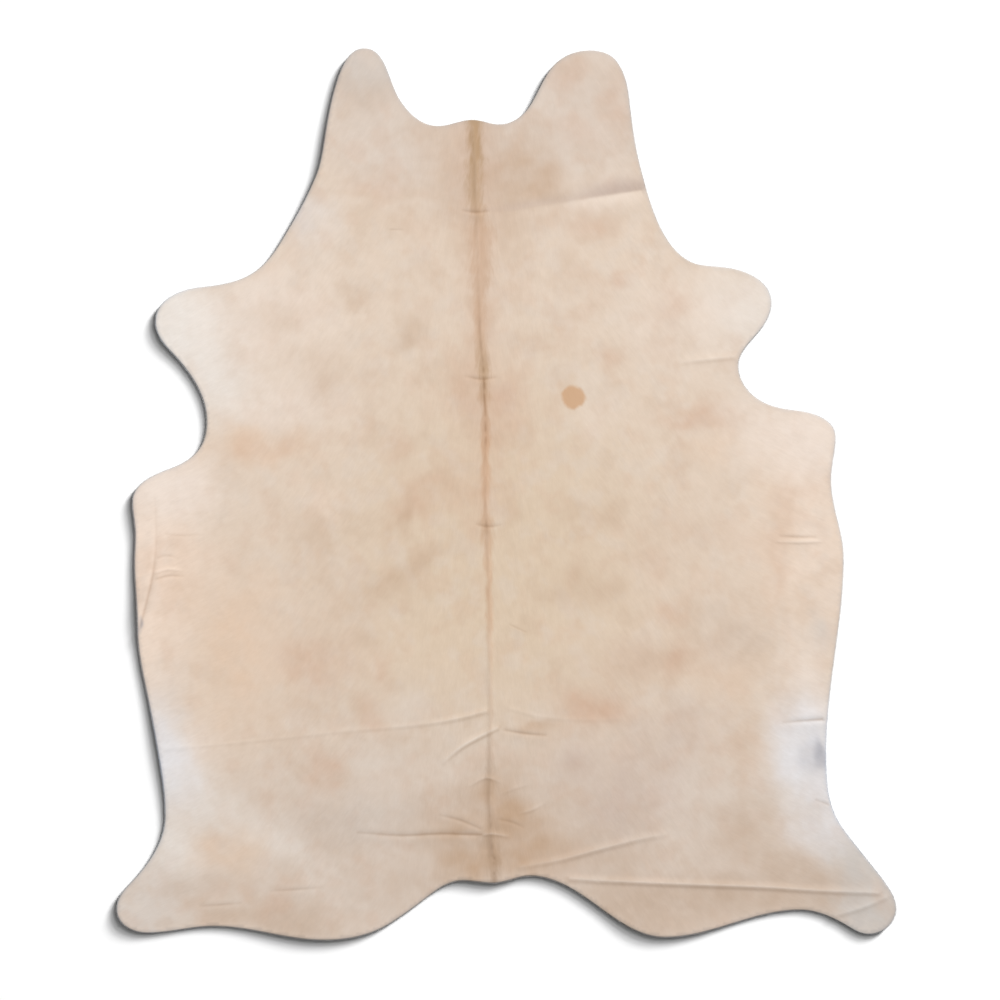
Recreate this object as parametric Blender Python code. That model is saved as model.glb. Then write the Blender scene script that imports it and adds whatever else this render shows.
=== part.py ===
"""A hair-on cowhide rug, lying flat with its hair side up.

One whole hide, tanned with the hair on and trimmed to its own outline: neck, forelegs, belly,
hind legs and tail. It is one thin sheet that lies a little uneven on the floor, with the soft
folds that it was packed with. The tables are in millimetres and the model is in metres. +X is the
right of the hide as it lies, +Y points to the neck and +Z is the hair side. The origin is on the
floor, below the middle of the box around the outline.
"""
import math
from collections import namedtuple

import bmesh
import bpy
import numpy as np
from mathutils.geometry import delaunay_2d_cdt

MM = 0.001

# The leather with its short coat, thick along the back and thin on the belly.
THICK_ON_BACK = 4.6
THICK_ON_BELLY = 3.6
RIM_SHARE = 0.5
RIM_WIDTH = 9.0
SPINE_ACROSS = -50.0
BELLY_REACH = 800.0

# How finely the sheet is divided. The gaps are the least ones between points of the plan.
EDGE_STEP = 34.0
EDGE_TURN = 13.0
GRID_PITCH = 46.0
GRID_GAP = 28.5
FOLD_STEP = 34.0
FOLD_GAP = 8.0
RIM_CLEARANCE = 18.0
SAME_POINT = 1e-5
SMOOTH_UP_TO = 35.0

# Rows of points beside a fold, in widths of the fold, and how much wider a trough's shoulders are.
RIDGE_ROWS = (-1.3, 0.0, 1.3)
TROUGH_ROWS = (-3.6, -1.4, 0.0, 1.4, 3.6)
SHOULDER = 3.0

# The hide lies flat wherever it would lift by less than this.
SETTLE = 0.3

HIDE_COLOUR = (0.70, 0.55, 0.40, 1.0)

Turn = namedtuple("Turn", "place across along heading")
Crease = namedtuple("Crease", "place kind width path")
Swell = namedtuple("Swell", "place across along half_across half_along turned height")

# The trimmed edge, clockwise seen from above. Heading is the edge's direction, 90 towards the neck.
EDGE = (
    Turn("crest of the neck", -81, 898, 0),
    Turn("dip right of the crest", -17, 887, 0),
    Turn("right cheek, inner side", 57, 932, 57),
    Turn("right cheek, shoulder", 107, 1020, 53),
    Turn("right cheek, tip", 201, 1064, 0),
    Turn("right cheek, corner", 266, 1036, -55),
    Turn("right cheek, outer side", 295, 941, -84),
    Turn("neck, right side", 323, 776, -75),
    Turn("right armpit", 393, 600, -54),
    Turn("right foreleg, root", 466, 550, -9),
    Turn("right foreleg, top", 537, 542, -10),
    Turn("right foreleg, tip", 635, 459, -90),
    Turn("right foreleg, underside", 597, 380, -132),
    Turn("right elbow", 556, 308, -90),
    Turn("right chest", 602, 229, -35),
    Turn("right brisket, top", 693, 201, -6),
    Turn("right brisket, tip", 789, 135, -91),
    Turn("right brisket, below", 778, 34, -90),
    Turn("right belly", 808, -153, -90),
    Turn("right flank", 766, -619, -90),
    Turn("right flank, below", 785, -763, -68),
    Turn("right hind leg, back", 849, -857, -52),
    Turn("right hock, outer", 914, -941, -56),
    Turn("right hock, tip", 934, -993, -90),
    Turn("right hock, end", 868, -1055, 180),
    Turn("right hock, inner", 814, -1033, 150),
    Turn("right hind leg, inner", 703, -997, 180),
    Turn("right thigh", 381, -1062, 180),
    Turn("right rump", 153, -944, 151),
    Turn("right of the tail", 57, -915, 180),
    Turn("tail", -32, -932, 180),
    Turn("left of the tail", -104, -926, 180),
    Turn("left rump", -190, -966, 218),
    Turn("left thigh, upper", -279, -1029, 212),
    Turn("left thigh", -437, -1069, 180),
    Turn("left hind leg, inner", -701, -1036, 180),
    Turn("left hock, inner", -860, -1052, 180),
    Turn("left hock, tip", -934, -995, 90),
    Turn("left hock, outer", -903, -935, 46),
    Turn("left hind leg, back", -818, -770, 90),
    Turn("left flank, below", -840, -588, 100),
    Turn("left flank", -868, -446, 102),
    Turn("left belly", -884, -314, 90),
    Turn("left belly, hollow", -891, -163, 90),
    Turn("left belly, swell", -889, -98, 90),
    Turn("left brisket, tip", -896, -19, 90),
    Turn("left brisket, top", -807, 61, 20),
    Turn("left chest", -738, 106, 52),
    Turn("left elbow", -718, 173, 90),
    Turn("left foreleg, underside", -807, 345, 134),
    Turn("left foreleg, tip", -841, 413, 90),
    Turn("left foreleg, top", -735, 496, 6),
    Turn("left foreleg, root", -604, 533, 34),
    Turn("left armpit", -516, 646, 59),
    Turn("neck, left side", -457, 761, 67),
    Turn("left cheek, outer side", -434, 862, 81),
    Turn("left cheek, corner", -399, 1010, 69),
    Turn("left cheek, tip", -341, 1069, 0),
    Turn("left cheek, inner side", -255, 945, -57),
    Turn("dip left of the crest", -164, 883, 0),
)

# The folds that the hide was packed with: across, along and height of each point of their lines.
CREASES = (
    Crease("spine", "ridge", 8, (
        (-79, 880, 1.3), (-72, 754, 1.1), (-62, 466, 0.7), (-55, 226, 0.7), (-48, -14, 0.8),
        (-41, -254, 0.8), (-38, -494, 1.2), (-38, -734, 1.0), (-34, -860, 1.5))),
    Crease("right neck fold", "trough", 18, (
        (-55, 679, 0.4), (10, 679, 0.8), (94, 694, 1.3), (194, 710, 2.1), (274, 722, 2.6),
        (322, 729, 2.6))),
    Crease("right shoulder fold", "ridge", 9, (
        (418, 317, 0.4), (490, 325, 1.2), (545, 330, 0.9))),
    Crease("long fold on the left loin", "ridge", 8, (
        (-818, -610, 0.4), (-638, -595, 0.5), (-398, -569, 0.5), (-206, -552, 0.9),
        (-110, -536, 1.7), (-50, -520, 1.7))),
    Crease("long fold on the right loin", "ridge", 9, (
        (10, -514, 0.7), (82, -533, 0.5), (178, -540, 0.4), (274, -538, 0.3))),
    Crease("spur beside the spine", "ridge", 8, (
        (-150, -640, 0.7), (-110, -607, 2.1), (-74, -586, 2.4), (-22, -560, 1.5))),
    Crease("rump fold", "trough", 8, (
        (-355, -811, 0.6), (-254, -818, 1.3), (-158, -814, 1.6), (-60, -816, 1.8))),
    Crease("right flank fold", "trough", 8, (
        (664, -547, 0.7), (716, -543, 2.0), (756, -540, 2.4))),
    Crease("short fold on the right thigh", "ridge", 9, (
        (34, -894, 1.0), (130, -876, 1.7), (226, -850, 2.3), (322, -826, 1.6), (380, -816, 0.6))),
    Crease("long fold on the right thigh", "ridge", 9, (
        (152, -921, 1.5), (226, -926, 2.0), (418, -934, 2.4), (610, -941, 2.4), (754, -950, 2.2),
        (890, -955, 1.8))),
    Crease("fold across the right hock", "ridge", 9, (
        (788, -1010, 1.2), (850, -991, 1.8), (910, -966, 1.2))),
    Crease("left belly fold", "trough", 8, (
        (-842, -14, 0.4), (-840, -122, 0.8), (-849, -200, 2.0), (-866, -272, 2.2),
        (-879, -322, 1.6))),
)

# Where the hide lifts off the floor a little: its ends and edges, and soft swells between folds.
SWELLS = (
    Swell("left cheek", -345, 1045, 130, 80, 0, 2.4),
    Swell("right cheek", 200, 1040, 140, 80, 0, 2.6),
    Swell("neck, left side", -450, 810, 45, 150, -10, 2.0),
    Swell("neck, right side", 318, 850, 45, 110, 4, 2.0),
    Swell("left foreleg", -835, 420, 80, 110, 0, 2.6),
    Swell("right foreleg", 628, 455, 70, 100, 0, 2.4),
    Swell("left brisket", -885, 0, 60, 110, 0, 2.4),
    Swell("right brisket", 790, 125, 60, 100, 0, 2.4),
    Swell("left belly", -890, -270, 50, 150, 0, 2.0),
    Swell("right belly", 812, -190, 55, 170, 0, 2.4),
    Swell("left flank", -845, -610, 50, 150, 8, 2.2),
    Swell("right flank", 772, -640, 55, 140, -4, 2.6),
    Swell("left hock", -915, -1010, 100, 80, 25, 3.0),
    Swell("right hock", 912, -1005, 90, 80, -35, 3.4),
    Swell("left thigh", -440, -1066, 190, 45, 3, 2.2),
    Swell("right thigh", 385, -1058, 190, 45, -3, 2.4),
    Swell("tail", -35, -930, 130, 40, 0, 2.0),
    Swell("left shoulder", -470, 330, 190, 110, 25, 1.8),
    Swell("right shoulder", 400, 440, 170, 110, -20, 1.8),
    Swell("left loin", -380, -430, 230, 90, 8, 1.9),
    Swell("right loin", 330, -400, 240, 100, -6, 1.8),
    Swell("rump", -190, -720, 150, 60, 10, 2.0),
    Swell("right buttock", 250, -700, 170, 80, -12, 1.8),
)


def clear_scene():
    """Remove what a new Blender file starts with."""
    for thing in list(bpy.data.objects):
        bpy.data.objects.remove(thing, do_unlink=True)


def pointing(heading):
    """The unit vector of a heading in degrees."""
    return np.array((math.cos(math.radians(heading)), math.sin(math.radians(heading))))


def edge_span(start, end):
    """The edge between two turns, as points up to but not including the second."""
    first = np.array((start.across, start.along), float)
    last = np.array((end.across, end.along), float)
    chord = np.linalg.norm(last - first)
    turning = abs((end.heading - start.heading + 180.0) % 360.0 - 180.0)
    quarter = math.radians(max(turning, 1.0)) / 4.0
    pull = chord * 2.0 / 3.0 * math.tan(quarter) / math.sin(2.0 * quarter)
    leaving = first + pull * pointing(start.heading)
    arriving = last - pull * pointing(end.heading)
    steps = max(math.ceil(chord / EDGE_STEP), math.ceil(turning / EDGE_TURN))
    t = (np.arange(steps) / steps)[:, None]
    u = 1.0 - t
    return u ** 3 * first + 3.0 * u * u * t * leaving + 3.0 * u * t * t * arriving + t ** 3 * last


def edge_points():
    """The whole edge in table millimetres."""
    spans = [edge_span(start, end) for start, end in zip(EDGE, EDGE[1:] + EDGE[:1])]
    return np.concatenate(spans)


def outward(points):
    """The outward unit normal at each point of a clockwise ring."""
    along = np.roll(points, -1, axis=0) - np.roll(points, 1, axis=0)
    along /= np.linalg.norm(along, axis=1)[:, None]
    return np.stack((-along[:, 1], along[:, 0]), axis=1)


def crease_line(crease):
    """Points evenly along a fold: across, along and height, on a smooth curve through its path."""
    path = np.array(crease.path, float)
    padded = np.vstack((2.0 * path[0] - path[1], path, 2.0 * path[-1] - path[-2]))
    spans = []
    for before, first, last, after in zip(padded, padded[1:], padded[2:], padded[3:]):
        steps = max(2, round(np.linalg.norm(last[:2] - first[:2]) / FOLD_STEP))
        t = (np.arange(steps) / steps)[:, None]
        curve = 2.0 * first + (last - before) * t
        curve = curve + (2.0 * before - 5.0 * first + 4.0 * last - after) * t ** 2
        curve = curve + (3.0 * first - before - 3.0 * last + after) * t ** 3
        spans.append(curve / 2.0)
    return np.vstack(spans + [path[-1:]])


def nearest_on_line(points, line):
    """The distance from each point to a fold's line, and the fold's height there."""
    distance = np.full(len(points), np.inf)
    height = np.zeros(len(points))
    for first, last in zip(line, line[1:]):
        run = last[:2] - first[:2]
        share = np.clip((points - first[:2]) @ run / (run @ run), 0.0, 1.0)
        away = np.linalg.norm(points - first[:2] - share[:, None] * run, axis=1)
        closer = away < distance
        distance[closer] = away[closer]
        height[closer] = (first[2] + share * (last[2] - first[2]))[closer]
    return distance, height


def crease_lift(points, crease):
    """How far a fold lifts the hide: a low ridge, or a trough between two low shoulders."""
    distance, height = nearest_on_line(points, crease_line(crease))
    narrow = np.exp(-(distance / crease.width) ** 2)
    if crease.kind == "ridge":
        return height * narrow
    broad = np.exp(-(distance / (SHOULDER * crease.width)) ** 2)
    return height * (broad - narrow)


def swell_lift(points, swell):
    """How far a soft swell lifts the hide."""
    right = pointing(swell.turned)
    up = pointing(swell.turned + 90.0)
    offset = points - np.array((swell.across, swell.along))
    spread = (offset @ right / swell.half_across) ** 2 + (offset @ up / swell.half_along) ** 2
    return swell.height * np.exp(-spread)


def lift(points):
    """The height of the flesh side above the floor, nothing where the hide lies flat."""
    total = sum(swell_lift(points, swell) for swell in SWELLS)
    total = total + sum(crease_lift(points, crease) for crease in CREASES)
    return np.maximum(total - SETTLE, 0.0)


def thickness(points):
    """Leather and coat together, thinner away from the spine."""
    away = np.clip(np.abs(points[:, 0] - SPINE_ACROSS) / BELLY_REACH, 0.0, 1.0)
    return THICK_ON_BACK + (THICK_ON_BELLY - THICK_ON_BACK) * away ** 2


def is_inside(points, ring):
    """Which points lie inside a closed ring."""
    inside = np.zeros(len(points), bool)
    for (x0, y0), (x1, y1) in zip(ring, np.roll(ring, -1, axis=0)):
        if y0 == y1:
            continue
        spans = (points[:, 1] > y0) != (points[:, 1] > y1)
        crossing = x0 + (points[:, 1] - y0) * (x1 - x0) / (y1 - y0)
        inside ^= spans & (points[:, 0] < crossing)
    return inside


def crease_rows():
    """Rows of points along and beside each fold, so that the facets follow it."""
    rows = []
    for crease in CREASES:
        line = crease_line(crease)[:, :2]
        beside = outward(line)
        beside[0] = beside[1]
        beside[-1] = beside[-2]
        for side in RIDGE_ROWS if crease.kind == "ridge" else TROUGH_ROWS:
            rows.append(line + side * crease.width * beside)
    return np.vstack(rows)


def grid_rows(low, high):
    """A grid of points in staggered rows over the box from low to high."""
    points = []
    row_gap = GRID_PITCH * math.sqrt(0.75)
    for row in range(math.ceil((high[1] - low[1]) / row_gap)):
        shift = GRID_PITCH / 2.0 * (row % 2)
        for column in range(math.ceil((high[0] - low[0]) / GRID_PITCH)):
            points.append((low[0] + shift + column * GRID_PITCH, low[1] + row * row_gap))
    return np.array(points)


def add_clear(kept, candidates, gap):
    """Add each candidate that is at least the gap from every point kept so far."""
    for candidate in candidates:
        if np.min(np.linalg.norm(kept - candidate, axis=1)) >= gap:
            kept = np.vstack((kept, candidate))
    return kept


def hide_plan():
    """The hide seen from above: its points, its triangles, and how many points are on the edge.

    The triangulation also fills the hollows of the outline, so only triangles inside it are kept.
    """
    edge = edge_points()
    inner = edge - RIM_WIDTH * outward(edge)
    keep_in = edge - RIM_CLEARANCE * outward(edge)
    kept = np.vstack((edge, inner))
    rows = crease_rows()
    kept = add_clear(kept, rows[is_inside(rows, keep_in)], FOLD_GAP)
    grid = grid_rows(edge.min(axis=0), edge.max(axis=0))
    kept = add_clear(kept, grid[is_inside(grid, keep_in)], GRID_GAP)
    ring = [(here, (here + 1) % len(edge)) for here in range(len(edge))]
    result = delaunay_2d_cdt(kept.tolist(), ring, [], 0, SAME_POINT, True)
    points = np.array([tuple(point) for point in result[0]])
    triangles = np.array(result[2])
    return points, triangles[is_inside(points[triangles].mean(axis=1), edge)], len(edge)


def hide_mesh():
    """Thicken the plan: a flesh side below, a hair side above it and a wall around the edge."""
    points, triangles, edge_count = hide_plan()
    edge = points[:edge_count]
    middle = (edge.min(axis=0) + edge.max(axis=0)) / 2.0
    flesh = lift(points)
    coat = thickness(points)
    coat[:edge_count] *= RIM_SHARE
    mesh = bmesh.new()
    sides = []
    for heights in (flesh, flesh + coat):
        side = np.column_stack((points - middle, heights)) * MM
        sides.append([mesh.verts.new(corner) for corner in side])
    below, above = sides
    for first, second, third in triangles:
        mesh.faces.new((below[first], below[third], below[second]))
        mesh.faces.new((above[first], above[second], above[third]))
    for here in range(edge_count):
        there = (here + 1) % edge_count
        mesh.faces.new((above[here], above[there], below[here]))
        mesh.faces.new((above[there], below[there], below[here]))
    return mesh


def hide_material():
    """Natural cream hair, matt and soft."""
    material = bpy.data.materials.new("cream hair")
    material.use_nodes = True
    surface = material.node_tree.nodes["Principled BSDF"]
    surface.inputs["Base Color"].default_value = HIDE_COLOUR
    surface.inputs["Roughness"].default_value = 0.8
    surface.inputs["Metallic"].default_value = 0.0
    material.diffuse_color = HIDE_COLOUR
    return material


def add_hide():
    """The hide as one closed solid on the floor."""
    mesh = hide_mesh()
    data = bpy.data.meshes.new("hide")
    mesh.to_mesh(data)
    mesh.free()
    data.materials.append(hide_material())
    data.shade_smooth()
    data.set_sharp_from_angle(angle=math.radians(SMOOTH_UP_TO))
    hide = bpy.data.objects.new("hide", data)
    bpy.context.scene.collection.objects.link(hide)
    print("hide:", len(data.polygons), "faces,", [round(side, 4) for side in hide.dimensions], "m")
    return hide


clear_scene()
add_hide()
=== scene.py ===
# %% [markdown]
# # A hair-on cowhide rug
# The rug is one whole hide, tanned with its hair on and laid flat with the hair side up. The
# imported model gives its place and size, and this script dresses it: the leather sheet, the coat
# of short hair on it, the hair along its edge, and the colours of a cream animal.
# Tables are in millimetres as on a cutting table, and the model is in metres.

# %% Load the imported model
import math
from collections import namedtuple

import bpy
import numpy as np
from mathutils.geometry import delaunay_2d_cdt
from mathutils.kdtree import KDTree
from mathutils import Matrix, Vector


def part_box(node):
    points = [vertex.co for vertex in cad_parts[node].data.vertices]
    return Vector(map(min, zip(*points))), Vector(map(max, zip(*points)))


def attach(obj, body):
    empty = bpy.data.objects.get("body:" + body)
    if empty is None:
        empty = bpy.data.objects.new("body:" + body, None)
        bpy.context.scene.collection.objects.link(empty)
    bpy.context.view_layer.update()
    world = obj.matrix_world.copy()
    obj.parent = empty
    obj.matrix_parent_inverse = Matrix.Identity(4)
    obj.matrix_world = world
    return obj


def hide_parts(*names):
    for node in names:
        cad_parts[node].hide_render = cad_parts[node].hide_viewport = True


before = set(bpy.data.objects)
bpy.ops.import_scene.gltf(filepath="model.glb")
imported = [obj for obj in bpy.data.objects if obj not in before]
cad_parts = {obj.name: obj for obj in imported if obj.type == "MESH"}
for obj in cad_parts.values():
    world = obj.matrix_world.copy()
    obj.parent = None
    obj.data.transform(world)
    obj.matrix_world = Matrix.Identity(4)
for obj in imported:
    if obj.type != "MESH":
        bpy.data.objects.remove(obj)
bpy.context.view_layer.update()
MM = 0.001
hide_low, hide_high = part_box("hide")
print("solid hide:", [round(side, 4) for side in hide_high - hide_low], "m")

# %% [markdown]
# ## The trimmed edge
# A hide is trimmed by hand around the animal's own shape, so its edge is one long free curve.
# It could be traced as hundreds of points, but a curve through few turning points keeps it smooth
# and easy to change. Each row is a place where the edge turns, with the edge's heading there in
# degrees, 90 towards the neck. The rows run clockwise, seen from above.

# %% Turning points of the edge
Turn = namedtuple("Turn", "place across along heading")
EDGE = [Turn(*row) for row in (
    ("crest of the neck", -81, 898, 0),
    ("dip right of the crest", -17, 887, 0),
    ("right cheek, inner side", 57, 932, 57),
    ("right cheek, shoulder", 107, 1020, 53),
    ("right cheek, tip", 201, 1064, 0),
    ("right cheek, corner", 266, 1036, -55),
    ("right cheek, outer side", 295, 941, -84),
    ("neck, right side", 323, 776, -75),
    ("right armpit", 393, 600, -54),
    ("right foreleg, root", 466, 550, -9),
    ("right foreleg, top", 537, 542, -10),
    ("right foreleg, tip", 635, 459, -90),
    ("right foreleg, underside", 597, 380, -132),
    ("right elbow", 556, 308, -90),
    ("right chest", 602, 229, -35),
    ("right brisket, top", 693, 201, -6),
    ("right brisket, tip", 789, 135, -91),
    ("right brisket, below", 778, 34, -90),
    ("right belly", 808, -153, -90),
    ("right flank", 766, -619, -90),
    ("right flank, below", 785, -763, -68),
    ("right hind leg, back", 849, -857, -52),
    ("right hock, outer", 914, -941, -56),
    ("right hock, tip", 934, -993, -90),
    ("right hock, end", 868, -1055, 180),
    ("right hock, inner", 814, -1033, 150),
    ("right hind leg, inner", 703, -997, 180),
    ("right thigh", 381, -1062, 180),
    ("right rump", 153, -944, 151),
    ("right of the tail", 57, -915, 180),
    ("tail", -32, -932, 180),
    ("left of the tail", -104, -926, 180),
    ("left rump", -190, -966, 218),
    ("left thigh, upper", -279, -1029, 212),
    ("left thigh", -437, -1069, 180),
    ("left hind leg, inner", -701, -1036, 180),
    ("left hock, inner", -860, -1052, 180),
    ("left hock, tip", -934, -995, 90),
    ("left hock, outer", -903, -935, 46),
    ("left hind leg, back", -818, -770, 90),
    ("left flank, below", -840, -588, 100),
    ("left flank", -868, -446, 102),
    ("left belly", -884, -314, 90),
    ("left belly, hollow", -891, -163, 90),
    ("left belly, swell", -889, -98, 90),
    ("left brisket, tip", -896, -19, 90),
    ("left brisket, top", -807, 61, 20),
    ("left chest", -738, 106, 52),
    ("left elbow", -718, 173, 90),
    ("left foreleg, underside", -807, 345, 134),
    ("left foreleg, tip", -841, 413, 90),
    ("left foreleg, top", -735, 496, 6),
    ("left foreleg, root", -604, 533, 34),
    ("left armpit", -516, 646, 59),
    ("neck, left side", -457, 761, 67),
    ("left cheek, outer side", -434, 862, 81),
    ("left cheek, corner", -399, 1010, 69),
    ("left cheek, tip", -341, 1069, 0),
    ("left cheek, inner side", -255, 945, -57),
    ("dip left of the crest", -164, 883, 0),
)]
print("edge:", len(EDGE), "turning points")

# %% [markdown]
# ### From turning points to a curve
# Between two turning points runs a Bezier curve. Its handles are as long as those of the arc that
# turns through the same angle, which keeps the round ends of the legs round. The ring is then cut
# into even steps, so that the mesh along the edge is even too.

# %% Curve through the turning points
EDGE_STEP = 6.0


def pointing(heading):
    """The unit vector of a heading in degrees."""
    return np.array((math.cos(math.radians(heading)), math.sin(math.radians(heading))))


def edge_span(start, end, step):
    """The edge between two turning points, up to but not including the second."""
    first = np.array((start.across, start.along), float)
    last = np.array((end.across, end.along), float)
    chord = np.linalg.norm(last - first)
    turning = abs((end.heading - start.heading + 180.0) % 360.0 - 180.0)
    quarter = math.radians(max(turning, 1.0)) / 4.0
    pull = chord * 2.0 / 3.0 * math.tan(quarter) / math.sin(2.0 * quarter)
    leaving = first + pull * pointing(start.heading)
    arriving = last - pull * pointing(end.heading)
    steps = max(2, math.ceil(chord / step))
    t = (np.arange(steps) / steps)[:, None]
    u = 1.0 - t
    return u ** 3 * first + 3.0 * u * u * t * leaving + 3.0 * u * t * t * arriving + t ** 3 * last


def edge_ring(step):
    """The whole edge in table millimetres."""
    spans = [edge_span(start, end, step) for start, end in zip(EDGE, EDGE[1:] + EDGE[:1])]
    return np.concatenate(spans)


def outward(points):
    """The outward unit normal at each point of a clockwise ring."""
    along = np.roll(points, -1, axis=0) - np.roll(points, 1, axis=0)
    along /= np.linalg.norm(along, axis=1)[:, None]
    return np.stack((-along[:, 1], along[:, 0]), axis=1)


edge = edge_ring(EDGE_STEP)
table_middle = (edge.min(axis=0) + edge.max(axis=0)) / 2.0

# %% [markdown]
# ## How the hide lies
# A hide that has been folded in a parcel keeps soft folds: some stand up as low ridges, some sink
# between two low shoulders. Its ends and edges lift a little as well. Cloth simulation would press
# such a stiff sheet flat and lose them, so the folds are placed as lines with a height at each
# point, and the lifted places as soft mounds.

# %% Folds and lifted places
Crease = namedtuple("Crease", "place kind width path")
CREASES = [Crease(*row) for row in (
    ("spine", "ridge", 8, (
        (-79, 880, 1.3), (-72, 754, 1.1), (-62, 466, 0.7), (-55, 226, 0.7), (-48, -14, 0.8),
        (-41, -254, 0.8), (-38, -494, 1.2), (-38, -734, 1.0), (-34, -860, 1.5))),
    ("right neck fold", "trough", 18, (
        (-55, 679, 0.4), (10, 679, 0.8), (94, 694, 1.3), (194, 710, 2.1), (274, 722, 2.6),
        (322, 729, 2.6))),
    ("right shoulder fold", "ridge", 9, (
        (418, 317, 0.4), (490, 325, 1.2), (545, 330, 0.9))),
    ("long fold on the left loin", "ridge", 8, (
        (-818, -610, 0.4), (-638, -595, 0.5), (-398, -569, 0.5), (-206, -552, 0.9),
        (-110, -536, 1.7), (-50, -520, 1.7))),
    ("long fold on the right loin", "ridge", 9, (
        (10, -514, 0.7), (82, -533, 0.5), (178, -540, 0.4), (274, -538, 0.3))),
    ("spur beside the spine", "ridge", 8, (
        (-150, -640, 0.7), (-110, -607, 2.1), (-74, -586, 2.4), (-22, -560, 1.5))),
    ("rump fold", "trough", 8, (
        (-355, -811, 0.6), (-254, -818, 1.3), (-158, -814, 1.6), (-60, -816, 1.8))),
    ("right flank fold", "trough", 8, (
        (664, -547, 0.7), (716, -543, 2.0), (756, -540, 2.4))),
    ("short fold on the right thigh", "ridge", 9, (
        (34, -894, 1.0), (130, -876, 1.7), (226, -850, 2.3), (322, -826, 1.6), (380, -816, 0.6))),
    ("long fold on the right thigh", "ridge", 9, (
        (152, -921, 1.5), (226, -926, 2.0), (418, -934, 2.4), (610, -941, 2.4), (754, -950, 2.2),
        (890, -955, 1.8))),
    ("fold across the right hock", "ridge", 9, (
        (788, -1010, 1.2), (850, -991, 1.8), (910, -966, 1.2))),
    ("left belly fold", "trough", 8, (
        (-842, -14, 0.4), (-840, -122, 0.8), (-849, -200, 2.0), (-866, -272, 2.2),
        (-879, -322, 1.6))),
)]
Swell = namedtuple("Swell", "place across along half_across half_along turned height")
SWELLS = [Swell(*row) for row in (
    ("left cheek", -345, 1045, 130, 80, 0, 2.4),
    ("right cheek", 200, 1040, 140, 80, 0, 2.6),
    ("neck, left side", -450, 810, 45, 150, -10, 2.0),
    ("neck, right side", 318, 850, 45, 110, 4, 2.0),
    ("left foreleg", -835, 420, 80, 110, 0, 2.6),
    ("right foreleg", 628, 455, 70, 100, 0, 2.4),
    ("left brisket", -885, 0, 60, 110, 0, 2.4),
    ("right brisket", 790, 125, 60, 100, 0, 2.4),
    ("left belly", -890, -270, 50, 150, 0, 2.0),
    ("right belly", 812, -190, 55, 170, 0, 2.4),
    ("left flank", -845, -610, 50, 150, 8, 2.2),
    ("right flank", 772, -640, 55, 140, -4, 2.6),
    ("left hock", -915, -1010, 100, 80, 25, 3.0),
    ("right hock", 912, -1005, 90, 80, -35, 3.4),
    ("left thigh", -440, -1066, 190, 45, 3, 2.2),
    ("right thigh", 385, -1058, 190, 45, -3, 2.4),
    ("tail", -35, -930, 130, 40, 0, 2.0),
    ("left shoulder", -470, 330, 190, 110, 25, 1.8),
    ("right shoulder", 400, 440, 170, 110, -20, 1.8),
    ("left loin", -380, -430, 230, 90, 8, 1.9),
    ("right loin", 330, -400, 240, 100, -6, 1.8),
    ("rump", -190, -720, 150, 60, 10, 2.0),
    ("right buttock", 250, -700, 170, 80, -12, 1.8),
)]
print("folds:", len(CREASES), "lifted places:", len(SWELLS))

# %% [markdown]
# ### Small wrinkles
# Besides the folds there are short wrinkles in the coat, across the spine, on the belly and round
# the tail. They are finger-long and about a millimetre deep, too fine for the solid, so only the
# coat carries them. They use the same kind of row as the folds.

# %% Wrinkles of the coat
WRINKLES = [Crease(*row) for row in (
    ("below the loin fold", "trough", 6, ((-2, -566, 0.8), (46, -574, 1.3), (94, -578, 0.6))),
    ("above the rump fold", "trough", 6, ((-158, -770, 0.4), (-110, -782, 1.0), (-62, -802, 0.8))),
    ("left belly, upper branch", "trough", 5,
     ((-836, -153, 0.4), (-816, -147, 0.6), (-792, -152, 0.2))),
    ("left belly, middle branch", "ridge", 5,
     ((-842, -188, 0.9), (-812, -180, 0.9), (-778, -183, 0.3))),
    ("left belly, lower branch", "trough", 5,
     ((-840, -204, 0.7), (-810, -196, 0.9), (-775, -197, 0.3))),
    ("left belly, across", "trough", 5, ((-818, -96, 0.2), (-778, -100, 0.4), (-736, -97, 0.2))),
    ("neck, across the spine", "trough", 6, ((-102, 680, 0.5), (-74, 676, 1.3), (-44, 679, 0.5))),
    ("withers, across the spine", "trough", 6, ((-95, 282, 0.4), (-62, 276, 1.2), (-26, 280, 0.4))),
    ("back, across the spine", "trough", 6, ((-72, -72, 0.4), (-45, -78, 1.1), (-14, -74, 0.4))),
    ("loin, across the spine", "ridge", 6, ((-88, -698, 0.4), (-48, -679, 1.1), (-16, -689, 0.4))),
    ("rump, across the spine", "ridge", 6, ((-66, -818, 0.6), (-34, -814, 1.4), (2, -820, 0.6))),
    ("right belly, upper", "trough", 5, ((658, -101, 0.5), (700, -103, 1.1), (742, -103, 0.6))),
    ("right belly, lower", "ridge", 5, ((646, -113, 0.4), (700, -115, 1.0), (754, -113, 0.6))),
    ("right flank, at the edge", "trough", 5, ((744, -734, 0.6), (772, -744, 1.0))),
    ("beside the tail, upper", "ridge", 6, ((-10, -716, 0.2), (22, -704, 0.5), (50, -696, 0.2))),
    ("beside the tail, middle", "ridge", 6, ((34, -764, 0.3), (60, -757, 0.9), (92, -740, 0.3))),
    ("beside the tail, lower", "trough", 6, ((-20, -779, 0.3), (12, -786, 0.8), (40, -798, 0.3))),
    ("left thigh", "trough", 6, ((-566, -952, 0.3), (-506, -948, 0.8), (-446, -944, 0.3))),
    ("left hind leg", "trough", 6, ((-734, -988, 0.3), (-686, -985, 0.8), (-638, -981, 0.3))),
    ("scratch on the left neck", "trough", 3, ((-276, 634, 0.5), (-252, 634, 0.3))),
    ("scratch on the right loin", "trough", 3, ((10, -314, 0.5), (46, -331, 0.3))),
)]
print("wrinkles:", len(WRINKLES))

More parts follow.
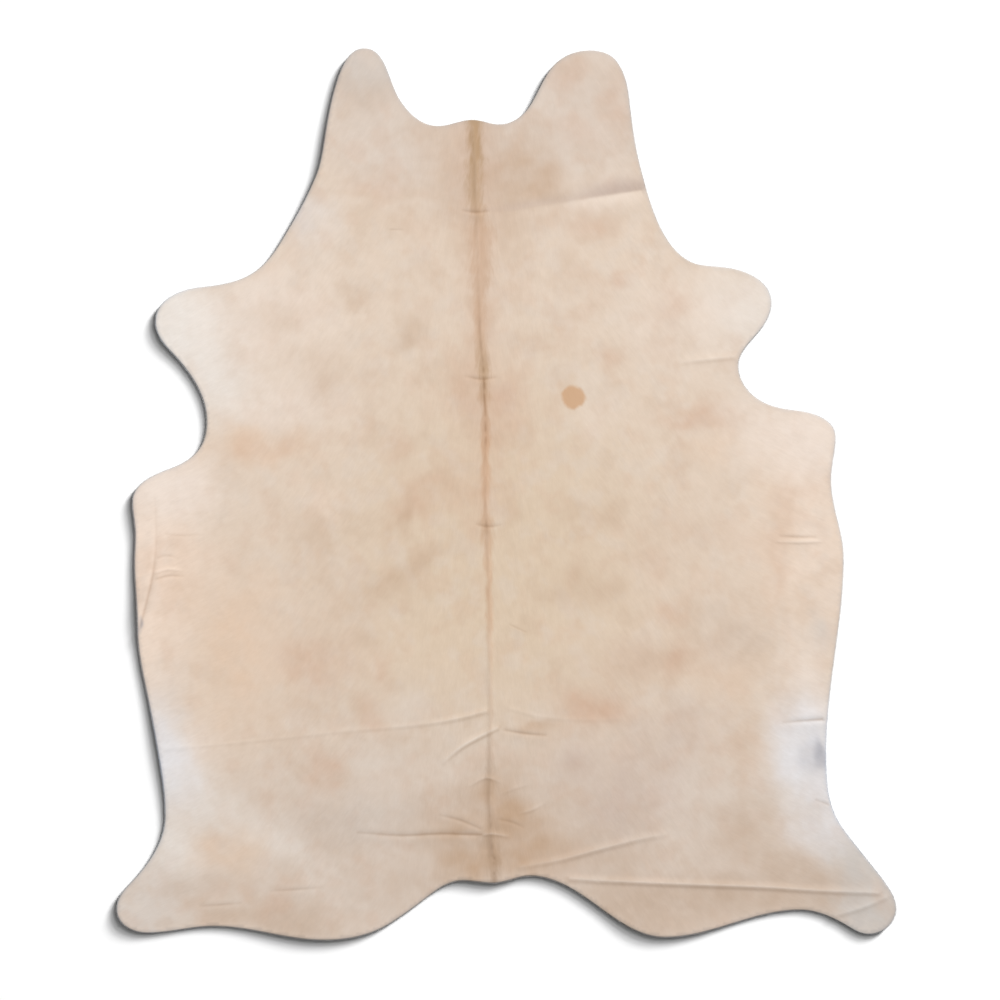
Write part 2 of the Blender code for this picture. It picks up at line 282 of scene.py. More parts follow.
# %% [markdown]
# ### Heights over the floor
# The flesh side lies on the floor, apart from where folds and swells lift it. The functions below
# give that gap at any point, and the thickness of leather and coat over it: a hide is thickest
# along the back and thin on the belly.

# %% Heights of the flesh side and of the coat
CREASE_STEP = 12.0
CREASE_REACH = 9.0
SHARP_WIDTH = 0.7
SOFT_SHARE = 0.6
SHOULDER = 3.0
SETTLE = 0.3
THICK_ON_BACK = 4.6
THICK_ON_BELLY = 3.6
SPINE_ACROSS = -50.0
BELLY_REACH = 800.0


def crease_line(crease, step):
    """Points evenly along a fold: across, along and height, on a smooth curve through its path."""
    path = np.array(crease.path, float)
    padded = np.vstack((2.0 * path[0] - path[1], path, 2.0 * path[-1] - path[-2]))
    spans = []
    for before, first, last, after in zip(padded, padded[1:], padded[2:], padded[3:]):
        steps = max(2, round(np.linalg.norm(last[:2] - first[:2]) / step))
        t = (np.arange(steps) / steps)[:, None]
        curve = 2.0 * first + (last - before) * t
        curve = curve + (2.0 * before - 5.0 * first + 4.0 * last - after) * t ** 2
        curve = curve + (3.0 * first - before - 3.0 * last + after) * t ** 3
        spans.append(curve / 2.0)
    return np.vstack(spans + [path[-1:]])


def nearest_on_line(points, line):
    """From each point, the distance to a fold's line, the fold's height there, and the side."""
    distance = np.full(len(points), np.inf)
    height = np.zeros(len(points))
    side = np.zeros(len(points))
    for first, last in zip(line, line[1:]):
        run = last[:2] - first[:2]
        offset = points - first[:2]
        share = np.clip(offset @ run / (run @ run), 0.0, 1.0)
        away = np.linalg.norm(offset - share[:, None] * run, axis=1)
        closer = away < distance
        distance[closer] = away[closer]
        height[closer] = (first[2] + share * (last[2] - first[2]))[closer]
        side[closer] = np.sign(run[0] * offset[:, 1] - run[1] * offset[:, 0])[closer]
    return distance, height, side


def near_crease(points, crease):
    """Which points are close enough to feel a fold, with distance, height and side for those."""
    line = crease_line(crease, CREASE_STEP)
    reach = CREASE_REACH * crease.width
    inside = np.all((points > line[:, :2].min(axis=0) - reach)
                    & (points < line[:, :2].max(axis=0) + reach), axis=1)
    return inside, *nearest_on_line(points[inside], line)


def crease_lift(points, crease):
    """How far a fold lifts the hide: a low ridge, or a trough between two low shoulders."""
    lifted = np.zeros(len(points))
    inside, distance, height, _ = near_crease(points, crease)
    soft = np.exp(-(distance / crease.width) ** 2)
    sharp = np.exp(-distance / (SHARP_WIDTH * crease.width))
    narrow = SOFT_SHARE * soft + (1.0 - SOFT_SHARE) * sharp
    if crease.kind == "ridge":
        lifted[inside] = height * narrow
    else:
        broad = np.exp(-(distance / (SHOULDER * crease.width)) ** 2)
        lifted[inside] = height * (broad - narrow)
    return lifted


def swell_lift(points, swell):
    """How far a soft swell lifts the hide."""
    right = pointing(swell.turned)
    up = pointing(swell.turned + 90.0)
    offset = points - np.array((swell.across, swell.along))
    spread = (offset @ right / swell.half_across) ** 2 + (offset @ up / swell.half_along) ** 2
    return swell.height * np.exp(-spread)


def floor_gap(points):
    """The height of the flesh side above the floor, nothing where the hide lies flat."""
    total = sum(swell_lift(points, swell) for swell in SWELLS)
    total = total + sum(crease_lift(points, crease) for crease in CREASES)
    return np.maximum(total - SETTLE, 0.0)


def thickness(points):
    """Leather and coat together, thinner away from the spine."""
    away = np.clip(np.abs(points[:, 0] - SPINE_ACROSS) / BELLY_REACH, 0.0, 1.0)
    return THICK_ON_BACK + (THICK_ON_BELLY - THICK_ON_BACK) * away ** 2


print("gap under the edge: up to", round(floor_gap(edge).max(), 1), "mm")

# %% [markdown]
# ### Soft noise
# No two square inches of a hide are the same height or colour. A small value noise, drawn from
# a seeded generator, gives the same soft unevenness on every run. It is made in numpy because it
# shapes the mesh itself; the finer grain comes later, in the shader.

# %% Seeded value noise
NOISE_CELLS = 256
NOISE_START = 400.0


def soft_noise(points, size, seed):
    """Smooth noise between -1 and 1 with bumps about as wide as size, at points in millimetres."""
    cells = np.random.default_rng(seed).uniform(-1.0, 1.0, (NOISE_CELLS, NOISE_CELLS))
    place = points / size + NOISE_START
    corner = np.floor(place).astype(int)
    t = place - corner
    t = t * t * (3.0 - 2.0 * t)
    x0, y0 = corner.T % NOISE_CELLS
    x1, y1 = (x0 + 1) % NOISE_CELLS, (y0 + 1) % NOISE_CELLS
    lower = cells[x0, y0] * (1.0 - t[:, 0]) + cells[x1, y0] * t[:, 0]
    upper = cells[x0, y1] * (1.0 - t[:, 0]) + cells[x1, y1] * t[:, 0]
    return lower * (1.0 - t[:, 1]) + upper * t[:, 1]


def layered_noise(points, size, seed, layers=3):
    """Several sizes of soft noise, each half as wide and half as strong as the one before."""
    total = np.zeros(len(points))
    for layer in range(layers):
        total += soft_noise(points, size / 2.0 ** layer, seed + layer) / 2.0 ** layer
    return total / (2.0 - 2.0 ** (1 - layers))


print("noise at the neck:", round(float(layered_noise(edge[:1], 60.0, seed=5)[0]), 3))

# %% [markdown]
# ## Meshing a sheet
# The coat needs a fine mesh, and finest beside folds, while the leather under it can be coarser.
# A grid cut by a Boolean would leave ragged triangles at the edge. Instead the edge ring, rows of
# points along each fold and a staggered grid are joined by a Delaunay triangulation, which keeps
# the ring's own edges, and triangles outside the ring are dropped.

# %% Points and triangles of a sheet
ROW_CLEAR = 0.45
GRID_CLEAR = 0.6


def is_inside(points, ring):
    """Which points lie inside a closed ring."""
    inside = np.zeros(len(points), bool)
    for (x0, y0), (x1, y1) in zip(ring, np.roll(ring, -1, axis=0)):
        if y0 == y1:
            continue
        spans = (points[:, 1] > y0) != (points[:, 1] > y1)
        crossing = x0 + (points[:, 1] - y0) * (x1 - x0) / (y1 - y0)
        inside ^= spans & (points[:, 0] < crossing)
    return inside


def rows_beside(crease, step, reaches):
    """Rows of points along a fold, at shares of its width to each side."""
    line = crease_line(crease, step)[:, :2]
    beside = outward(line)
    beside[0] = beside[1]
    beside[-1] = beside[-2]
    sides = sorted({sign * reach for reach in reaches for sign in (-1.0, 1.0)})
    return np.vstack([line + side * crease.width * beside for side in sides])


def all_rows(creases, step, reaches):
    """The rows beside every fold of a table."""
    return np.vstack([rows_beside(crease, step, reaches) for crease in creases])


def staggered_grid(low, high, pitch):
    """A grid of points in staggered rows over the box from low to high."""
    row_gap = pitch * math.sqrt(0.75)
    columns = np.arange(low[0], high[0], pitch)
    rows = np.arange(low[1], high[1], row_gap)
    across, along = np.meshgrid(columns, rows)
    across[1::2] += pitch / 2.0
    return np.column_stack((across.ravel(), along.ravel()))


def away_from(candidates, kept, gap):
    """Those candidates that are at least the gap from every kept point."""
    tree = KDTree(len(kept))
    for index, (x, y) in enumerate(kept):
        tree.insert((x, y, 0.0), index)
    tree.balance()
    clear = [tree.find((x, y, 0.0))[2] >= gap for x, y in candidates]
    return candidates[np.array(clear)]


def sheet_plan(ring, rows, pitch, row_gap):
    """The points and triangles of a sheet inside a ring; the ring's points come first."""
    cells = np.unique(np.round(rows / row_gap).astype(int), axis=0, return_index=True)[1]
    rows = rows[np.sort(cells)]
    rows = away_from(rows[is_inside(rows, ring)], ring, ROW_CLEAR * pitch)
    grid = staggered_grid(ring.min(axis=0), ring.max(axis=0), pitch)
    grid = grid[is_inside(grid, ring)]
    kept = np.vstack((ring, rows))
    kept = np.vstack((kept, away_from(grid, kept, GRID_CLEAR * pitch)))
    links = [(here, (here + 1) % len(ring)) for here in range(len(ring))]
    result = delaunay_2d_cdt(kept.tolist(), links, [], 0, 1e-5, False)
    points = np.array([tuple(point) for point in result[0]])
    triangles = np.array(result[2])
    middles = points[triangles].mean(axis=1)
    return points, triangles[is_inside(middles, ring)]


def mesh_from(name, points, heights, faces):
    """A mesh object from table points, heights over the floor and faces."""
    corners = np.column_stack((points - table_middle, heights)) * MM
    data = bpy.data.meshes.new(name)
    data.from_pydata(corners.tolist(), [], [list(map(int, face)) for face in faces])
    data.update()
    made = bpy.data.objects.new(name, data)
    bpy.context.scene.collection.objects.link(made)
    return made


def table_points(thing):
    """Where the points of a mesh lie on the cutting table."""
    places = np.array([tuple(vertex.co) for vertex in thing.data.vertices])
    return places[:, :2] / MM + table_middle


def ring_band(first, second, count):
    """Quads that join two rings of the same count, given where each ring starts."""
    here = np.arange(count)
    there = (here + 1) % count
    return np.column_stack((first + here, first + there, second + there, second + here))


print("meshing helpers ready")

# %% [markdown]
# ## The leather
# Under the hair is a sheet of leather about two millimetres thick. It shows at the cut edge
# and, where the rug is turned over, as the flesh side. It is a closed sheet: the flesh side,
# a grain side hidden by the hair, and a wall between them. The cut edge stands a hair's breadth
# inside the coat's own rim.

# %% Build the leather sheet
COAT_DEPTH = 2.0
LEATHER_INSET = 1.0
LEATHER_PITCH = 20.0
LEATHER_ROW_STEP = 16.0
LEATHER_ROW_GAP = 4.0
LEATHER_REACHES = (0.0, 0.8, 1.7)
CUT_EDGE_SHARE = 0.7

leather_ring = edge - LEATHER_INSET * outward(edge)
leather_rows = all_rows(CREASES, LEATHER_ROW_STEP, LEATHER_REACHES)
leather_plan, leather_triangles = sheet_plan(leather_ring, leather_rows, LEATHER_PITCH,
                                             LEATHER_ROW_GAP)


def add_leather():
    """The closed leather sheet, flesh side down."""
    count = len(leather_plan)
    gap = floor_gap(leather_plan)
    depth = thickness(leather_plan) - COAT_DEPTH
    depth[:len(leather_ring)] *= CUT_EDGE_SHARE
    points = np.vstack((leather_plan, leather_plan))
    heights = np.concatenate((gap, gap + depth))
    faces = list(leather_triangles[:, ::-1]) + list(leather_triangles + count)
    faces += list(ring_band(0, count, len(leather_ring))[:, ::-1])
    return mesh_from("leather", points, heights, faces)


leather = add_leather()
wall_faces = len(leather_ring)
print("leather:", len(leather.data.polygons), "faces")

# %% [markdown]
# ## The coat
# The hair is a few millimetres long and lies flat, so from a step away it is a soft skin over the
# leather. That skin is the upper sheet: very fine, following every fold and wrinkle, uneven by
# a fraction of a millimetre, and curling down over the cut edge. Single hairs over the whole hide
# would be millions, so their streaks are left to the shader and only the edge gets real locks.

# %% Build the coat
COAT_PITCH = 7.0
COAT_ROW_GAP = 2.0
FOLD_ROW_STEP = 6.0
FOLD_REACHES = (0.0, 0.16, 0.34, 0.55, 0.8, 1.1, 1.5, 2.0)
WRINKLE_ROW_STEP = 4.0
WRINKLE_REACHES = (0.0, 0.35, 0.75, 1.2, 1.8)
COCKLE_HEIGHT = 0.34
COCKLE_SIZE = 90.0
FUZZ_HEIGHT = 0.10
FUZZ_SIZE = 16.0
RimRing = namedtuple("RimRing", "inset level")
RIM = (RimRing(0.0, 1.3), RimRing(0.3, 2.6), RimRing(1.0, 3.5), RimRing(2.4, 3.9))
RIM_INNER_PAINTED_SHADE = 0.35


def cockle(points):
    """The fine unevenness of the coat in millimetres."""
    broad = COCKLE_HEIGHT * layered_noise(points, COCKLE_SIZE, seed=11)
    fine = FUZZ_HEIGHT * soft_noise(points, FUZZ_SIZE, seed=31)
    return broad + fine


rim_rings = [edge - ring.inset * outward(edge) for ring in RIM]
coat_rows = np.vstack((
    all_rows(CREASES, FOLD_ROW_STEP, FOLD_REACHES),
    all_rows(WRINKLES, WRINKLE_ROW_STEP, WRINKLE_REACHES),
))
coat_plan, coat_triangles = sheet_plan(rim_rings[-1], coat_rows, COAT_PITCH, COAT_ROW_GAP)
print("coat plan:", len(coat_plan), "points,", len(coat_triangles), "triangles")

# %% Raise the coat and roll its rim


def add_coat():
    """The upper skin of hair, with its rim rolled down over the cut edge."""
    ring_count = len(edge)
    gap = floor_gap(coat_plan)
    full = thickness(coat_plan)
    wrinkles = sum(crease_lift(coat_plan, wrinkle) for wrinkle in WRINKLES)
    heights = gap + full + cockle(coat_plan) + wrinkles
    rim_gap = floor_gap(edge)
    rim_full = thickness(edge) / THICK_ON_BELLY
    heights[:ring_count] = rim_gap + RIM[-1].level * rim_full
    points = [coat_plan]
    levels = [heights]
    faces = list(coat_triangles)
    start_of = {len(RIM) - 1: 0}
    start = len(coat_plan)
    for ring in range(len(RIM) - 2, -1, -1):
        points.append(rim_rings[ring])
        levels.append(rim_gap + RIM[ring].level * rim_full)
        start_of[ring] = start
        faces += list(ring_band(start, start_of[ring + 1], ring_count)[:, ::-1])
        start += ring_count
    return mesh_from("hair_coat", np.vstack(points), np.concatenate(levels), faces)


hair_coat = add_coat()
coat_points = table_points(hair_coat)
# Painted shade on the rim: full at the edge, fading inwards across the rolled rim.
outer_painted_shades = [1.0 - ring.inset / RIM[-1].inset for ring in RIM[-2::-1]]
rim_painted_shade = np.repeat([RIM_INNER_PAINTED_SHADE, 0.0, *outer_painted_shades],
                      [len(edge), len(coat_plan) - len(edge)] + [len(edge)] * len(outer_painted_shades))
print("coat:", len(hair_coat.data.polygons), "faces")

# %% [markdown]
# ## The colours of the animal
# A cream hide is never one colour. The back is yellowish, the flanks and shanks are nearly white,
# the rump and the middle of the neck are tan, and the lower part is greyer. Painting an image
# would do, but a table of named patches can be read and changed: each one tints the cream with
# one of a few colours and fades out around its half sizes, the more sharply the crisper it is.

# %% Named tints of the hair
TINTS = {
    "cream": (227, 208, 190),
    "buff": (220, 198, 172),
    "mauve": (213, 196, 182),
    "stone": (217, 202, 190),
    "peach": (243, 222, 205),
    "shell": (241, 226, 214),
    "blush": (230, 204, 181),
    "milk": (238, 231, 224),
    "ice": (231, 229, 231),
    "fog": (224, 211, 199),
    "slate": (206, 199, 193),
    "clay": (214, 190, 169),
    "rust": (210, 173, 147),
    "umber": (200, 171, 145),
    "bark": (191, 158, 127),
    "plum": (199, 178, 166),
    "smoke": (168, 168, 176),
    "ash": (219, 208, 199),
    "dun": (202, 180, 161),
}


def linear(colour):
    """A colour seen on a screen, 0 to 255, as the linear colour that light adds up in."""
    share = np.array(colour, float) / 255.0
    return np.where(share <= 0.04045, share / 12.92, ((share + 0.055) / 1.055) ** 2.4)


def opaque(colour):
    """A colour seen on a screen as a linear colour for a socket."""
    return (*linear(colour), 1.0)


print("cream in linear light:", linear(TINTS["cream"]).round(3))

# %% Broad zones of the coat
Patch = namedtuple("Patch", "place tint across along half_across half_along amount turned crisp",
                   defaults=(0, 1.2))
ZONES = [Patch(*row) for row in (
    ("middle of the back", "buff", -20, -170, 340, 410, 0.75, 0, 1.5),
    ("lower part", "mauve", 0, -960, 1000, 400, 0.8, 0, 2.5),
    ("neck", "stone", -60, 1000, 520, 300, 0.75, 0, 4.0),
    ("left belly", "peach", -850, -150, 105, 270, 1.0, 0, 1.5),
    ("right belly", "peach", 770, -60, 130, 260, 0.55, 0, 1.5),
    ("left brisket", "shell", -815, 15, 115, 95, 0.95, 0, 1.5),
    ("right brisket", "shell", 710, 130, 130, 90, 0.85, 0, 1.5),
    ("right side, inner", "shell", 560, 190, 60, 46, 0.4, 0, 1.3),
    ("left foreleg", "milk", -800, 420, 120, 125, 1.0, 20, 1.6),
    ("left foreleg, underside", "milk", -700, 300, 75, 130, 0.85, 25, 1.3),
    ("left side, above the elbow", "shell", -530, 210, 130, 60, 0.6, 8),
    ("left shoulder", "shell", -585, 440, 150, 125, 0.7),
    ("right foreleg", "milk", 610, 450, 110, 125, 0.66, 0, 1.3),
    ("right shoulder", "shell", 410, 420, 130, 90, 0.35),
    ("left flank", "ice", -820, -668, 74, 165, 1.0, 5, 1.5),
    ("left flank, lower", "fog", -790, -810, 75, 85, 0.7, -30),
    ("left hock, inner side", "milk", -815, -865, 85, 100, 0.6, -30, 1.3),
    ("left flank, inner", "shell", -728, -600, 50, 60, 0.5),
    ("left thigh, pale streak", "milk", -610, -800, 200, 44, 0.55, -35),
    ("right flank", "ice", 722, -620, 82, 140, 0.95, 0, 1.8),
    ("right flank, lower", "ice", 785, -790, 75, 120, 0.55, 30, 1.4),
    ("right hock, inner side", "ice", 735, -780, 95, 58, 0.5, -42, 1.3),
    ("right thigh, pale", "milk", 430, -765, 62, 60, 0.32),
    ("right thigh, pale streak", "fog", 560, -720, 160, 45, 0.45, -15),
    ("left hock", "ash", -895, -975, 130, 95, 0.9, 0, 1.5),
    ("right hock", "slate", 865, -960, 125, 125, 1.0, 0, 1.6),
)]
print("zones:", len(ZONES))

# %% Mottles of the neck and shoulders
FRONT_MOTTLES = [Patch(*row) for row in (
    ("left cheek, brown", "umber", -345, 958, 52, 34, 0.42),
    ("left cheek, grey", "slate", -340, 1010, 110, 60, 0.5, 0, 1.4),
    ("left of the neck stripe", "clay", -150, 800, 60, 115, 0.6, 0, 1.5),
    ("beside the neck stripe", "bark", -78, 745, 52, 170, 0.34),
    ("neck, right of the stripe", "bark", 0, 655, 44, 90, 0.26),
    ("left neck, pink", "rust", -320, 740, 60, 28, 0.28),
    ("left neck, low", "clay", -240, 655, 45, 30, 0.35),
    ("left neck, crossing shade", "clay", -300, 716, 150, 12, 0.35, -2, 1.5),
    ("left neck, pale", "ice", -460, 660, 60, 55, 0.4, 0, 1.3),
    ("right of the neck stripe", "umber", 40, 765, 90, 85, 0.68, 0, 1.4),
    ("right neck, second", "umber", 88, 742, 30, 36, 0.32, 0, 1.3),
    ("right neck, below the fold", "clay", 30, 650, 62, 50, 0.5),
    ("right cheek, inner", "rust", 140, 1005, 32, 34, 0.38),
    ("right cheek, tip", "clay", 225, 1020, 50, 30, 0.3),
    ("right cheek, outer", "rust", 258, 930, 28, 70, 0.3),
    ("right cheek, middle", "rust", 185, 870, 28, 30, 0.3),
    ("right neck, low", "rust", 200, 652, 56, 38, 0.26),
    ("left back, first", "umber", -365, 478, 28, 26, 0.38, 40),
    ("left back, second", "umber", -215, 395, 38, 20, 0.42, 45, 1.3),
    ("left back, third", "umber", -258, 365, 36, 16, 0.32, 20, 1.3),
    ("left shoulder, brown", "umber", -440, 245, 30, 45, 0.36, -20),
    ("left shoulder, upper", "clay", -440, 325, 40, 30, 0.35),
    ("left shoulder, faint", "clay", -545, 415, 64, 34, 0.45),
    ("left ribs, small", "clay", -325, 275, 28, 24, 0.32),
    ("right shoulder, orange", "rust", 262, 510, 20, 16, 0.52, 30, 1.4),
    ("right shoulder, brown", "umber", 130, 555, 24, 36, 0.35),
    ("right shoulder, red", "rust", 395, 445, 55, 24, 0.3),
    ("right back, small red", "rust", 260, 325, 22, 22, 0.35),
    ("right back, brown", "umber", 60, 370, 50, 20, 0.3),
    ("right chest", "rust", 486, 190, 52, 32, 0.5, 0, 1.4),
    ("right chest, inner", "rust", 400, 178, 60, 18, 0.32),
    ("right chest, low", "blush", 500, 118, 55, 40, 0.55),
    ("right back, pale", "shell", 215, 190, 55, 42, 0.32),
    ("left elbow", "blush", -600, 115, 115, 42, 0.9, 0, 1.4),
    ("left elbow, darker", "rust", -600, 106, 60, 22, 0.28),
    ("left elbow, inner", "rust", -515, 118, 26, 28, 0.3),
)]
print("front mottles:", len(FRONT_MOTTLES))

# %% Mottles of the ribs and belly
MIDDLE_MOTTLES = [Patch(*row) for row in (
    ("withers, left", "rust", -100, 240, 45, 65, 0.42),
    ("withers, right", "rust", 10, 240, 40, 60, 0.42),
    ("ribs, right of the spine", "rust", -5, 185, 44, 56, 0.3),
    ("left ribs, upper", "rust", -265, 110, 34, 24, 0.3),
    ("left ribs, red", "rust", -175, 15, 65, 45, 0.5, 0, 1.3),
    ("left ribs, second red", "rust", -215, -40, 50, 30, 0.35),
    ("left ribs, streak", "umber", -235, -55, 14, 40, 0.45, -10, 1.3),
    ("beside the spine, red", "rust", -78, -30, 36, 75, 0.28),
    ("left side, brown", "umber", -465, -90, 50, 34, 0.4, -20),
    ("left loin, first", "umber", -200, -160, 70, 22, 0.38, 35),
    ("left loin, second", "umber", -255, -215, 45, 26, 0.36, 35),
    ("left loin, third", "umber", -330, -250, 60, 32, 0.4, 20),
    ("left loin, fourth", "umber", -345, -350, 45, 40, 0.36),
    ("left belly, orange", "blush", -780, -200, 46, 95, 0.5),
    ("left belly, inner", "peach", -720, -165, 55, 60, 0.45),
    ("left side, orange", "blush", -650, -380, 100, 160, 0.9, 0, 1.3),
    ("left side, inner orange", "clay", -435, -330, 70, 150, 0.42),
    ("left side, light", "peach", -430, -20, 52, 42, 0.35),
    ("left belly, smudge", "smoke", -883, -318, 5, 20, 0.6),
    ("right ribs, first", "umber", 165, -40, 34, 22, 0.5, 0, 1.3),
    ("right ribs, second", "umber", 262, -50, 28, 24, 0.45, 0, 1.3),
    ("right ribs, third", "umber", 172, -180, 26, 24, 0.42, 0, 1.3),
    ("right ribs, fourth", "umber", 230, -230, 40, 30, 0.45),
    ("right loin, middle", "umber", 140, -240, 50, 30, 0.32),
    ("right side, red", "rust", 372, -175, 24, 40, 0.34, 0, 1.3),
    ("right side, small", "rust", 380, -290, 30, 22, 0.36),
    ("right belly, orange", "blush", 640, -100, 50, 155, 0.4),
    ("right belly, red", "rust", 655, -130, 22, 120, 0.3, -4, 1.3),
    ("right belly, upper red", "rust", 715, 0, 50, 20, 0.26, 10),
    ("right belly, edge", "slate", 755, -330, 26, 50, 0.45, 0, 1.3),
    ("right belly, low", "shell", 712, -400, 50, 60, 0.45, 0, 1.3),
    ("left hip, brown", "rust", -465, -415, 66, 40, 0.55),
    ("left hip, inner", "rust", -300, -415, 30, 40, 0.35),
    ("right hip, red", "clay", 335, -398, 105, 50, 1.0, 0, 1.3),
    ("right hip, dark", "rust", 405, -400, 24, 40, 0.45, -20),
    ("right hip, outer", "blush", 520, -430, 72, 52, 0.55),
    ("right side, brown", "dun", 540, -345, 90, 80, 0.55, 0, 1.3),
    ("right side, warm", "clay", 380, -130, 110, 110, 0.28),
)]
print("middle mottles:", len(MIDDLE_MOTTLES))

# %% Mottles of the rump and thighs
REAR_MOTTLES = [Patch(*row) for row in (
    ("left loin, red", "rust", -330, -525, 34, 30, 0.4),
    ("left rump, pale", "fog", -240, -510, 45, 50, 0.55),
    ("left rump, pale, lower", "fog", -300, -645, 55, 40, 0.65),
    ("left rump, pale, inner", "fog", -291, -746, 56, 46, 0.5),
    ("left rump, red", "rust", -440, -665, 34, 40, 0.48),
    ("left rump, grey", "slate", -350, -790, 150, 50, 0.32),
    ("left thigh, orange", "blush", -668, -855, 80, 50, 0.6),
    ("left thigh, dark", "umber", -650, -1010, 70, 24, 0.4, 0, 1.3),
    ("left thigh, brown", "dun", -770, -945, 66, 30, 0.45, 10, 1.3),
    ("left thigh, dark red", "rust", -545, -1000, 34, 22, 0.6, 0, 1.3),
    ("left thigh, low", "dun", -505, -1032, 70, 40, 0.75, 0, 1.3),
    ("left thigh, brown edge", "dun", -435, -815, 44, 44, 0.45),
    ("left hind leg, dark", "umber", -745, -985, 32, 16, 0.32),
    ("rump stain", "bark", -80, -850, 98, 92, 0.62, 0, 1.8),
    ("rump stain, right", "bark", 45, -830, 84, 95, 0.66, 0, 1.8),
    ("rump stain, upper", "bark", -22, -735, 72, 62, 0.58, 0, 1.5),
    ("rump stain, edge", "umber", 105, -865, 60, 50, 0.45, 0, 1.4),
    ("rump stain, left edge", "umber", -190, -800, 60, 50, 0.32),
    ("right loin, red", "rust", 200, -520, 58, 44, 0.85),
    ("right loin, outer", "rust", 260, -525, 32, 26, 0.5),
    ("right of the spine, dark", "umber", 65, -560, 40, 14, 0.7, 5, 1.4),
    ("right loin, plum", "plum", 160, -640, 50, 40, 0.45),
    ("right rump, plum", "plum", 320, -690, 112, 82, 0.45),
    ("right rump, low plum", "plum", 260, -790, 60, 50, 0.42),
    ("right hip, violet", "plum", 420, -560, 110, 60, 0.34),
    ("right hip, small", "umber", 560, -610, 26, 36, 0.18),
    ("right thigh, brown", "dun", 560, -790, 110, 66, 0.55, 0, 1.3),
    ("right thigh, dark", "dun", 685, -900, 105, 42, 0.95, -14, 1.4),
    ("right thigh, edge", "dun", 530, -966, 230, 38, 1.0, -2, 1.4),
    ("right thigh, low", "dun", 330, -1000, 150, 52, 1.0, 0, 1.3),
    ("right thigh, below the short fold", "dun", 240, -865, 90, 55, 0.65, 10, 1.3),
    ("rump, right of the spine", "bark", -5, -674, 44, 44, 0.25),
    ("right loin, warm", "clay", 70, -600, 46, 44, 0.38),
    ("rump, left, low", "dun", -215, -930, 56, 56, 0.32),
    # The two smoke patches here are painted shade beside the swell at the right flank's edge.
    ("right flank, smudge", "smoke", 754, -622, 9, 30, 0.6, 0, 1.6),
    ("right flank, haze", "smoke", 738, -628, 28, 42, 0.3, 0, 1.8),
)]
print("rear mottles:", len(REAR_MOTTLES))

# %% Painted shade above and painted highlight below the fold on the right of the neck
NECK_FOLD_PAINTED_SHADE = [Patch(*row) for row in (
    ("neck fold, shaded side", "plum", 272, 722, 84, 32, 0.75, 9, 1.6),
    ("neck fold, inner shade", "plum", 80, 692, 120, 14, 0.35, 7, 1.5),
)]
NECK_FOLD_PAINTED_HIGHLIGHT = [Patch(*row) for row in (
    ("neck fold, bright side", "shell", 240, 716, 95, 34, 0.35, 9, 1.5),
)]
print("tones beside the neck fold:", len(NECK_FOLD_PAINTED_SHADE + NECK_FOLD_PAINTED_HIGHLIGHT))

# %% [markdown]
# ### Painting the patches
# Every point of the coat starts as cream and is drawn towards the tint of each broad zone, then of
# three kinds of slanting marble from noise, then of each mottle. The point is first shifted by soft
# noise, which makes the round patches ragged, and the legs and flanks stay calmer than the back.
# The result is kept on the mesh as a colour attribute.

# %% Paint the coat
RAGGED = 26.0
RAGGED_SIZE = 70.0
FADE = 0.7
CLOUD_SIZE = 40.0
CLOUD_SHARE = 0.5
MOTTLE_SHARE = 0.85
MARBLE_SLANT = np.array(((0.9, -0.5), (0.5, 0.75)))
MARBLE_LOW = 0.04
MARBLE_RISE = 0.34
CALMING = 0.8
NECK_FOLD_SOFT = 7.0
CALM_TINTS = ("milk", "ice", "shell")
MARBLE = (("umber", 52.0, 301, 0.18), ("rust", 40.0, 311, 0.15), ("fog", 38.0, 321, 0.26))


def patch_amount(points, patch):
    """How strongly a patch tints each point; half as strongly at its half size."""
    right = pointing(patch.turned)
    up = pointing(patch.turned + 90.0)
    offset = points - np.array((patch.across, patch.along))
    spread = (offset @ right / patch.half_across) ** 2 + (offset @ up / patch.half_along) ** 2
    return patch.amount * np.exp(-FADE * spread ** patch.crisp)


def towards(colours, tint, amount):
    """Draw colours towards a named tint."""
    share = np.clip(amount, 0.0, 1.0)[:, None]
    return colours * (1.0 - share) + linear(TINTS[tint]) * share


def above_neck_fold(points):
    """How far each point lies above the fold on the right of the neck, in millimetres."""
    fold = next(crease for crease in CREASES if crease.place == "right neck fold")
    path = np.array(fold.path)
    return points[:, 1] - np.interp(points[:, 0], path[:, 0], path[:, 1])


